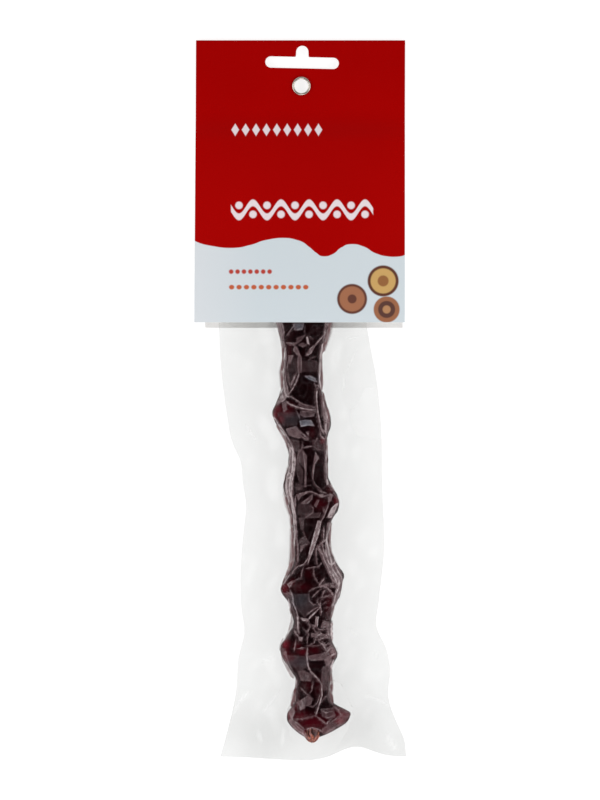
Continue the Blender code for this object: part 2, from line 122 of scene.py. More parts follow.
RED_BEHIND_LENGTH = 16 * MM
RED_BEHIND_RANGE = (0.9, 2.2)
RED_SIDE = 0.8
RED_SIDE_RANGE = (11.2 * MM, 14 * MM)

COAT_DEEP = (0.0026, 0.0006, 0.0009, 1)
COAT_SHALLOW = (0.007, 0.001, 0.0016, 1)
COAT_THIN = (0.15, 0.004, 0.013, 1)
COAT_SHINE = (1.0, 0.3, 0.32, 1)
CLOUD_ROUGHNESS = 0.55


def ease(start, end, at):
    """0 before start, 1 after end, and three squares less two cubes of the share between them."""
    share = np.clip((at - start) / (end - start), 0, 1)
    return share * share * (3 - 2 * share)


def curve_through(stations, values, at):
    """A cubic through the given points, whose slope at each is taken from its neighbours."""
    slopes = np.gradient(values, stations)
    at = np.clip(at, stations[0], stations[-1])
    i = np.clip(np.searchsorted(stations, at) - 1, 0, len(stations) - 2)
    span = stations[i + 1] - stations[i]
    u = (at - stations[i]) / span
    ends = values[i] * (2 * u**3 - 3 * u**2 + 1) + values[i + 1] * (3 * u**2 - 2 * u**3)
    return ends + span * (slopes[i] * (u**3 - 2 * u**2 + u) + slopes[i + 1] * (u**3 - u**2))


def axis_sideways(y):
    """How far the rod's middle line lies to the right at each station y."""
    return curve_through(AXIS_STATIONS, AXIS_SIDEWAYS, y)


def nut_bump(u):
    """1 at the nut's middle, nearly straight flanks, and a soft foot at u = 1: a rounded cone,
    clipped at 0 by the logarithm of one plus an exponential."""
    foot = NUT_FOOT_SHARPNESS
    flank = 1 + NUT_TIP_ROUNDING - np.sqrt(u * u + NUT_TIP_ROUNDING**2)
    bump = np.log1p(np.exp(foot * flank)) / foot - math.log1p(math.exp(-foot)) / foot
    return np.clip(bump, 0, 1)


def rod_radius(y, angle):
    """Distance from the rod's axis to the coat: a bare radius with two slow waves, plus, for each
    nut, its bump times the difference between its reach on that side and the bare radius."""
    right, left = np.maximum(np.cos(angle), 0) ** 2, np.maximum(-np.cos(angle), 0) ** 2
    front, back = np.maximum(np.sin(angle), 0) ** 2, np.maximum(-np.sin(angle), 0) ** 2
    second = SECOND_WAVE * np.sin(3 * angle - SECOND_WAVE_PACE * y / UNEVEN_LENGTH)
    bare = ROD_RADIUS + UNEVENNESS * (np.sin(2 * angle + y / UNEVEN_LENGTH) + second)
    radius = bare
    for nut in np.array(NUTS) * MM:
        reach = nut[1] * right + nut[2] * front + nut[3] * left + nut[4] * back
        u = (y - nut[0] - nut[6] * np.cos(angle)) / nut[5]
        radius = radius + (reach - bare) * nut_bump(u)
    return radius


def waves(places, length, count, seed):
    """Smooth unevenness of about unit size: the sum of plane waves of seeded directions and phases,
    each of nearly the given length, over the square root of half their number."""
    chance = np.random.default_rng(seed)
    dimensions = places.shape[-1]
    total = np.zeros(places.shape[:-1])
    for _ in range(count):
        way = chance.normal(size=dimensions)
        way *= 2 * math.pi / (length * chance.uniform(*WAVE_LENGTHS) * np.linalg.norm(way))
        total += np.sin(places @ way + chance.uniform(0, 2 * math.pi))
    return total / math.sqrt(count / 2)


def round_faces(rows, columns):
    """Quads of a tube: row by row, each point joined to the next round the ring and along it."""
    i = np.arange(rows * columns).reshape(rows, columns)
    j = np.roll(i, -1, axis=1)
    return np.stack([i[:-1], j[:-1], j[1:], i[1:]], axis=-1).reshape(-1, 4)


def add_piece(name, points, faces, material, node, attributes=()):
    """Puts points and faces in the scene as a smooth piece, with attributes of one number or four at
    each point, that rides on the pack and stands for a CAD node."""
    mesh = bpy.data.meshes.new(name)
    mesh.from_pydata(points.reshape(-1, 3), [], faces)
    mesh.validate()
    mesh.shade_smooth()
    for title, values in dict(attributes).items():
        values = np.ascontiguousarray(values, dtype=np.float32)
        kind, field = ("FLOAT_COLOR", "color") if values.shape[-1] == 4 else ("FLOAT", "value")
        mesh.attributes.new(title, kind, "POINT").data.foreach_set(field, values.ravel())
    mesh.materials.append(material)
    piece = bpy.data.objects.new(name, mesh)
    bpy.context.scene.collection.objects.link(piece)
    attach(piece, "root")
    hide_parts(node)
    return piece


def as_pictured(points):
    """Where points are seen from the camera: each is carried along its ray to the ground's plane."""
    grow = CAMERA_HEIGHT / (CAMERA_HEIGHT - points[..., 2]) / PICTURE_STEP
    return PICTURE_MIDDLE[0] + points[..., 0] * grow, PICTURE_MIDDLE[1] - points[..., 1] * grow


def new_material(name):
    """An empty node material and the output its shader goes to."""
    made = bpy.data.materials.new(name)
    made.use_nodes = True
    made.node_tree.nodes.clear()
    return made, made.node_tree.nodes.new("ShaderNodeOutputMaterial")


def feed(material, slots, sources):
    """Feeds inputs in order, each from a socket to link or with a plain value."""
    for slot, source in zip(slots, sources):
        if isinstance(source, bpy.types.NodeSocket):
            material.node_tree.links.new(source, slot)
        else:
            slot.default_value = source


def feed_named(material, made, **inputs):
    """Feeds a node's inputs by their names, and gives its first output."""
    feed(material, [made.inputs[name.replace("_", " ")] for name in inputs], inputs.values())
    return made.outputs[0]


def add_node(material, kind, *sources, **settings):
    """Adds a node with its settings: sources fill its inputs in order."""
    made = material.node_tree.nodes.new(kind)
    for name, value in settings.items():
        setattr(made, name, value)
    feed(material, made.inputs, sources)
    return made


def figure(material, operation, *sources, clamp=False):
    """The result of one sum, product or other operation on sockets or numbers."""
    return add_node(material, "ShaderNodeMath", *sources, operation=operation, use_clamp=clamp).outputs[0]


def blend_colours(material, share, first, second):
    """A colour between two others, by a share from 0 to 1."""
    made = add_node(material, "ShaderNodeMix", data_type="RGBA")
    feed(material, [slot for slot in made.inputs if slot.enabled], (share, first, second))
    return [slot for slot in made.outputs if slot.enabled][0]


def own_attribute(material, title):
    """The number that the piece's mesh holds at each point under a title."""
    return add_node(material, "ShaderNodeAttribute", attribute_name=title).outputs["Fac"]


def stretch(material, value, low, high, to_low=0.0, to_high=1.0):
    """A value carried from one range to another, and held at its ends."""
    return add_node(material, "ShaderNodeMapRange", value, low, high, to_low, to_high).outputs[0]


def cloudiness(material, size, detail=3.0):
    """Noise from 0 to 1 on the piece's own coordinates, with lumps of a size in metres."""
    place = add_node(material, "ShaderNodeTexCoord").outputs["Object"]
    made = add_node(material, "ShaderNodeTexNoise", place)
    return feed_named(material, made, Scale=1 / size, Detail=detail, Roughness=CLOUD_ROUGHNESS)


def clouds(material, size, first, second, low=0.3, high=0.7, detail=3.0):
    """Two colours, or two roughnesses, that pass into each other in clouds of a size: the first where
    the noise is below low, and the second where it is above high."""
    noise = cloudiness(material, size, detail)
    if isinstance(first, tuple):
        return blend_colours(material, stretch(material, noise, low, high), first, second)
    return stretch(material, noise, low, high, first, second)


def relief(material, size, distance, detail=3.0):
    """A bump normal of lumps of a size that stand up by a distance."""
    height = cloudiness(material, size, detail)
    return feed_named(material, add_node(material, "ShaderNodeBump"), Distance=distance, Height=height)


def surface(material, output, **inputs):
    """A Principled shader, fed by its inputs' names, that goes to an output if one is given."""
    shader = feed_named(material, add_node(material, "ShaderNodeBsdfPrincipled"), **inputs)
    if output:
        material.node_tree.links.new(shader, output.inputs[0])
    return shader


def coat_points():
    """The rod's rings from its tip to its crown, with lumps and grain in the coat, and both poles.
    Round the last kernel the front is pushed in by a bell curve across it, eased in along it."""
    turns = np.linspace(math.pi / 2, 0, CAP_ROWS, endpoint=False)[1:]
    foot = TIP_CAP_START + (ROD_TIP - TIP_CAP_START) * np.sin(turns)
    head = CROWN_CAP_START + (ROD_CROWN - CROWN_CAP_START) * np.sin(turns[::-1])
    rows = round((CROWN_CAP_START - TIP_CAP_START) / COAT_ROW)
    y = np.concatenate([foot, np.linspace(TIP_CAP_START, CROWN_CAP_START, rows), head])[:, None]
    tip_shrink, crown_shrink = np.cos(turns) ** TIP_FULLNESS, np.cos(turns[::-1]) ** CROWN_FULLNESS
    shrink = np.concatenate([tip_shrink, np.ones(rows), crown_shrink])
    angle = np.linspace(0, 2 * math.pi, COAT_COLUMNS, endpoint=False)[None, :]
    radius = rod_radius(y, angle) * shrink[:, None]
    tube = np.stack([radius * np.cos(angle), y + 0 * angle, radius * np.sin(angle)], axis=-1)
    lumps = COAT_LUMPS * waves(tube, COAT_LUMP_LENGTH, count=12, seed=3)
    lumps = lumps + COAT_GRAIN * waves(tube, COAT_GRAIN_LENGTH, count=16, seed=4)
    radius = radius + (lumps - 2 * COAT_LUMPS) * shrink[:, None]
    off = radius * np.cos(angle) + axis_sideways(y) - KERNEL_CENTRE[0]
    notch = ease(NOTCH_START, NOTCH_WHOLE, y + NOTCH_FRAYING * lumps)
    notch = np.exp(-((off / NOTCH_HALF_WIDTH) ** 4)) * notch
    cut = radius - NOTCH_DEPTH * notch * np.maximum(np.sin(angle), 0)
    radius = np.maximum(NOTCH_LEAVES * radius, cut)
    across = axis_sideways(y) + radius * np.cos(angle)
    rings = np.stack([across, y + 0 * angle, AXIS_HEIGHT + radius * np.sin(angle)], axis=-1)
    poles = np.array([(axis_sideways(np.array(end)), end, AXIS_HEIGHT) for end in (ROD_TIP, ROD_CROWN)])
    return rings, poles


def coat_thinness(points):
    """How red each point shows: bell curves round the red places on the front, and seeded spots and
    the nuts' tips behind."""
    u, v = as_pictured(points)
    front = ease(*RED_FRONT, points[..., 2] - AXIS_HEIGHT)
    thin = np.zeros(u.shape)
    for across, down, wide, high, share in RED_PLACES:
        away = ((u - across) / wide) ** 2 + ((v - down) / high) ** 2
        thin = np.maximum(thin, share * np.exp(-away * RED_SHARPNESS))
    behind = RED_BEHIND * ease(*RED_BEHIND_RANGE, waves(points, RED_BEHIND_LENGTH, count=8, seed=5))
    side = ease(*RED_SIDE_RANGE, np.abs(points[..., 0] - axis_sideways(points[..., 1])))
    return thin * front + (behind + RED_SIDE * side) * (1 - front)


def close_tube(rings, poles):
    """Points and faces of a tube of rings whose ends run in to one pole each."""
    rows, columns = rings.shape[:2]
    faces = round_faces(rows, columns).tolist()
    ring = np.arange(columns)
    onward = np.roll(ring, -1)
    low, high = np.full((2, columns), [[rows * columns], [rows * columns + 1]])
    last = (rows - 1) * columns
    faces += np.stack([onward, ring, low], axis=-1).tolist()
    faces += np.stack([last + ring, last + onward, high], axis=-1).tolist()
    return np.concatenate([rings.reshape(-1, 3), poles]), faces


must, must_output = new_material("dark_juice_coat")
thin_share = figure(must, "MULTIPLY", own_attribute(must, "thin"), 0.5, clamp=True)
thick_coat = clouds(must, 3 * MM, COAT_DEEP, COAT_SHALLOW, low=0.35)
surface(
    must,
    must_output,
    Base_Color=blend_colours(must, thin_share, thick_coat, COAT_THIN),
    Roughness=clouds(must, 2 * MM, 0.34, 0.5),
    Specular_IOR_Level=0.03,
    Specular_Tint=COAT_SHINE,
    Normal=relief(must, 0.9 * MM, 0.06 * MM, detail=4.0),
)

coat_verts, coat_faces = close_tube(*coat_points())
thinness = {"thin": coat_thinness(coat_verts)}
add_piece("dipped_sweet", coat_verts, coat_faces, must, "churchkhela", thinness)

# The last walnut half, whose lobed end stands bare out of the coat at the lower tip. The juice has
# stained it orange brown, and darker to its left. Its furrows and its top, towards the coat, are
# painted darker as shade.
KERNEL_HALF_SIZE = np.array([4.7, 7.6, 4.8]) * MM
KERNEL_LOBES = 13
KERNEL_ROWS = 70
KERNEL_COLUMNS = 168
# The furrows wander by waves along the kernel: a wobble, ripples that differ round it, and a twist
KERNEL_WOBBLE, KERNEL_RIPPLE, KERNEL_TWIST = 0.5, 0.9, 1.2
KERNEL_LOBE_SPREAD = 0.16  # how unevenly the lobes lie round the kernel
KERNEL_SMALL_LOBES = 0.2  # the share of the height that is in smaller lobes
KERNEL_ROUNDNESS, KERNEL_SMALL_ROUNDNESS = 0.8, 0.7
KERNEL_FURROW = 0.3
KERNEL_FLATS = 0.1
KERNEL_ACROSS, KERNEL_ALONG = 0.96, 0.93  # of its half size, at the top of a lobe and in a furrow
KERNEL_END_LOBES = 0.05
KERNEL_GRAIN = 0.06 * MM
KERNEL_GRAIN_LENGTH = 1.6 * MM
KERNEL_POLE = 0.97
POLE_LOBES = (0.8, 0.3)  # the lobe height at the two poles
# The kernel is darker to its left, stained by the juice, and towards its top, by painted shade.
STAINED_LEFT = (-3.2 * MM, -0.6 * MM)  # from the kernel's middle, where the bare light skin begins
SHADED_TOP = (-3 * MM, -6 * MM)
STAIN_AND_SHADE = 0.5  # how much darker than the bare skin
WALNUT_DARK = (0.2, 0.028, 0.014, 1)
WALNUT_LIGHT = (0.74, 0.22, 0.115, 1)
# The furrows' colour is painted shade.
WALNUT_FURROW_SHADE = (0.045, 0.006, 0.004, 1)


def kernel_rings():
    """Rings round the long axis of an egg shape. Each lobe's height is a power of a sine over the
    turn, which leaves furrows between round lobes. The turn is first made uneven by a slower sine,
    so no two lobes are equally wide, and the furrows wander along the kernel."""
    along = np.linspace(0, math.pi, KERNEL_ROWS + 2)[1:-1, None]
    turn = np.linspace(0, 2 * math.pi, KERNEL_COLUMNS, endpoint=False)[None, :]
    wander = KERNEL_WOBBLE * np.sin(2.2 * along + 1.0)
    wander = wander + KERNEL_RIPPLE * np.sin(5 * along + 3 * turn) + KERNEL_TWIST * along
    uneven = turn + KERNEL_LOBE_SPREAD * np.sin(2 * turn + 0.7) + 0.1 * np.sin(3 * turn)
    lobe = np.abs(np.sin(KERNEL_LOBES / 2 * uneven + wander)) ** KERNEL_ROUNDNESS
    small = np.abs(np.sin(KERNEL_LOBES * turn + 3 * np.cos(3 * along) + 1)) ** KERNEL_SMALL_ROUNDNESS
    height = (1 - KERNEL_SMALL_LOBES) * lobe + KERNEL_SMALL_LOBES * small
    flats = KERNEL_FLATS * np.cos(2 * turn + 3 * along) ** 2
    grow = KERNEL_ACROSS - KERNEL_FURROW * (1 - height) - flats
    end = 1 + KERNEL_END_LOBES * np.cos(KERNEL_LOBES * turn) * np.cos(along)
    ring = np.sin(along)
    unit = np.stack([ring * np.cos(turn), -np.cos(along) * end, ring * np.sin(turn)], axis=-1)
    unit = unit * np.stack([grow, KERNEL_ALONG + (1 - KERNEL_ALONG) * height, grow], axis=-1)
    ground = KERNEL_CENTRE + unit * KERNEL_HALF_SIZE
    grain = KERNEL_GRAIN * waves(ground, KERNEL_GRAIN_LENGTH, count=12, seed=7)
    return ground + grain[..., None] * unit, height


walnut, walnut_output = new_material("stained_walnut")
skin_tone = clouds(walnut, 1.1 * MM, WALNUT_DARK, WALNUT_LIGHT, low=0.4, high=0.6)
# The colour turns to the painted furrow shade low in the furrows and where stain or shade lowers the lobe
# share.
unshaded_share = stretch(walnut, own_attribute(walnut, "lobe"), 0.3, 0.85)
surface(
    walnut,
    walnut_output,
    Base_Color=blend_colours(walnut, unshaded_share, WALNUT_FURROW_SHADE, skin_tone),
    Roughness=clouds(walnut, 1 * MM, 0.38, 0.6),
    Normal=relief(walnut, 0.5 * MM, 0.08 * MM, detail=5.0),
)

kernel_grid, lobe_height = kernel_rings()
kernel_poles = KERNEL_CENTRE + KERNEL_HALF_SIZE * np.array([[0, -KERNEL_POLE, 0], [0, KERNEL_POLE, 0]])
kernel_verts, kernel_faces = close_tube(kernel_grid, kernel_poles)
lobes_and_shade = np.concatenate([lobe_height.ravel(), POLE_LOBES])
# Juice stain to the left and painted shade towards the top lower the lobe share, so the colour darkens
# there.
left_edge = [KERNEL_CENTRE[0] + off for off in STAINED_LEFT]
top_shade_edge = [KERNEL_CENTRE[1] + off for off in SHADED_TOP]
bare_lit_skin = ease(*left_edge, kernel_verts[:, 0]) * ease(*top_shade_edge, kernel_verts[:, 1])
lobes_and_shade = lobes_and_shade * (1 - STAIN_AND_SHADE + STAIN_AND_SHADE * bare_lit_skin)
add_piece("bare_kernel", kernel_verts, kernel_faces, walnut, "walnut_kernel", {"lobe": lobes_and_shade})

# The bag: two plies of clear film, welded round the edge, from which the air is drawn. The film
# clings to the coat, spans the hollows between the nuts, and its spare width stands in sharp folds
# that look pale, their highlights, reflections and shade painted into the film's haze and tone;
# beside the sweet the two plies lie on each other as one limp margin.
POCKET_CROWN = 60.2 * MM
LEFT_EDGE_STATIONS = np.array(
    [-155, -141, -127, -111, -100, -90, -70, -55, -46, -36, -26, -19, -5, 15, 35, 60, 126]
) * MM
LEFT_EDGE = np.array([
    -34.5, -30.7, -27.6, -26.3, -23.9, -25.1, -25.3, -24.0, -23.1, -24.5, -25.7, -28.8, -31.6, -34.0,
    -35.0, -36.4, -37.6,
]) * MM
RIGHT_EDGE_STATIONS = np.array(
    [-155, -146, -139, -130, -115, -108, -98, -88, -65, -40, -5, 9, 22, 35, 60, 126]
) * MM
RIGHT_EDGE = np.array(
    [46.1, 45.0, 41.8, 38.6, 39.0, 37.6, 33.2, 34.1, 36.5, 35.8, 34.8, 33.2, 30.8, 28.8, 33.0, 38.6]
) * MM
BAG_TOP = 141.2 * MM
BAG_FOOT = -154.0 * MM
FOOT_SAG = (1.4 * MM, 1 * MM, 20 * MM)  # how deep it is, where its middle lies, and half its width
FOOT_WAVE = (4.7 * MM, 24 * MM, 10 * MM)
SEAM_HEIGHT = 10.6 * MM
SEAM_FALL_START = 56.0 * MM
SEAM_FALL_END = 124.0 * MM
MARGIN_DROOP = 4.6 * MM
MARGIN_DROOP_REACH = 40.0 * MM
DROOP_RANGE = (0.15, 1.0)  # in shares of that reach
RIPPLE = 1.1 * MM
RIPPLE_LENGTH = 47.0 * MM
RIPPLE_SHIFT = 0.2  # of its length, between the two margins
STACK_BACK = 1.05 * MM
STACK_FRONT = 2.6 * MM
FILM_GAP = 0.12 * MM
FILM_TIP = -149.8 * MM
PLY_GAP = 0.06 * MM  # from the seam's middle to each ply
EYELET_CENTRE = (0.8 * MM, 135.7 * MM)
PUNCHED_HOLE_RADIUS = 3.65 * MM
HOLE_START = 0.9 * MM
FRONT_ROW = 0.3 * MM
BACK_ROW = 0.6 * MM
SHOWN_END = 34.5 * MM  # above it the card covers the film
FRONT_COLUMNS = 110
BACK_COLUMNS = 64
WEB_COLUMNS = 5
MARGIN_COLUMNS = 34
LIFT_OFF = math.radians(12)  # where the film leaves the coat's side for the seam
STRIP_HALF_WIDTH = 1.6 * MM  # of the wrap's columns where there is no sweet
STRIP_MOST_RADIUS = 8 * MM
SWEET_LEAST_RADIUS = 0.05 * MM
CENTRE_EASE = 4 * MM  # of radius, over which the wrap's middle rises from the seam to the rod's axis
PLY_EASE = 1 * MM
KERNEL_END_ROOM = 0.4 * MM
CROWN_ROOM = 2 * MM
SPAN_SLOPE = 0.5  # how steeply the film falls from a nut before it meets the rod
SPAN_STEPS = np.arange(-12, 12.1, 1.5) * MM
SPAN_SHARE_FRONT = 0.12  # of the room under the spans, and how much more at the sides
SPAN_SHARE_SIDE = 0.78
SPAN_SHARE_POWER = 1.5
SEAM_REACH = 0.7 * MM
HOLLOW_REACH = 1.3 * MM
HOLLOW_EASE = 3 * MM
WEB_FALL = 1.5  # the power by which the film runs out to its seam
FOOT_ROWS, COVERED_ROWS, MIDDLE_ROWS, HEAD_ROWS = 8, 28, 14, 25
MARGIN_CROWDING = 1.6
MARGIN_FOLD = 0.9 * MM
MARGIN_FOLD_START = 8 * MM  # beside the seam, and the stations where the folds end under the card
MARGIN_FOLD_END = (60 * MM, 110 * MM)
FOOT_FOLLOW_POWER = 8  # of the share of the way down, by which the margins follow the wavy foot
FOOT_FOLLOW_START = 9 * MM
FOOT_FOLLOW_ROOM = 0.3 * MM
# The margins' folds: the size and length of each kind, its number of waves, and its seed
MARGIN_FOLDS = ((0.5, 42 * MM, 3, 11), (0.28, 19 * MM, 3, 12), (0.10, 9 * MM, 4, 13))

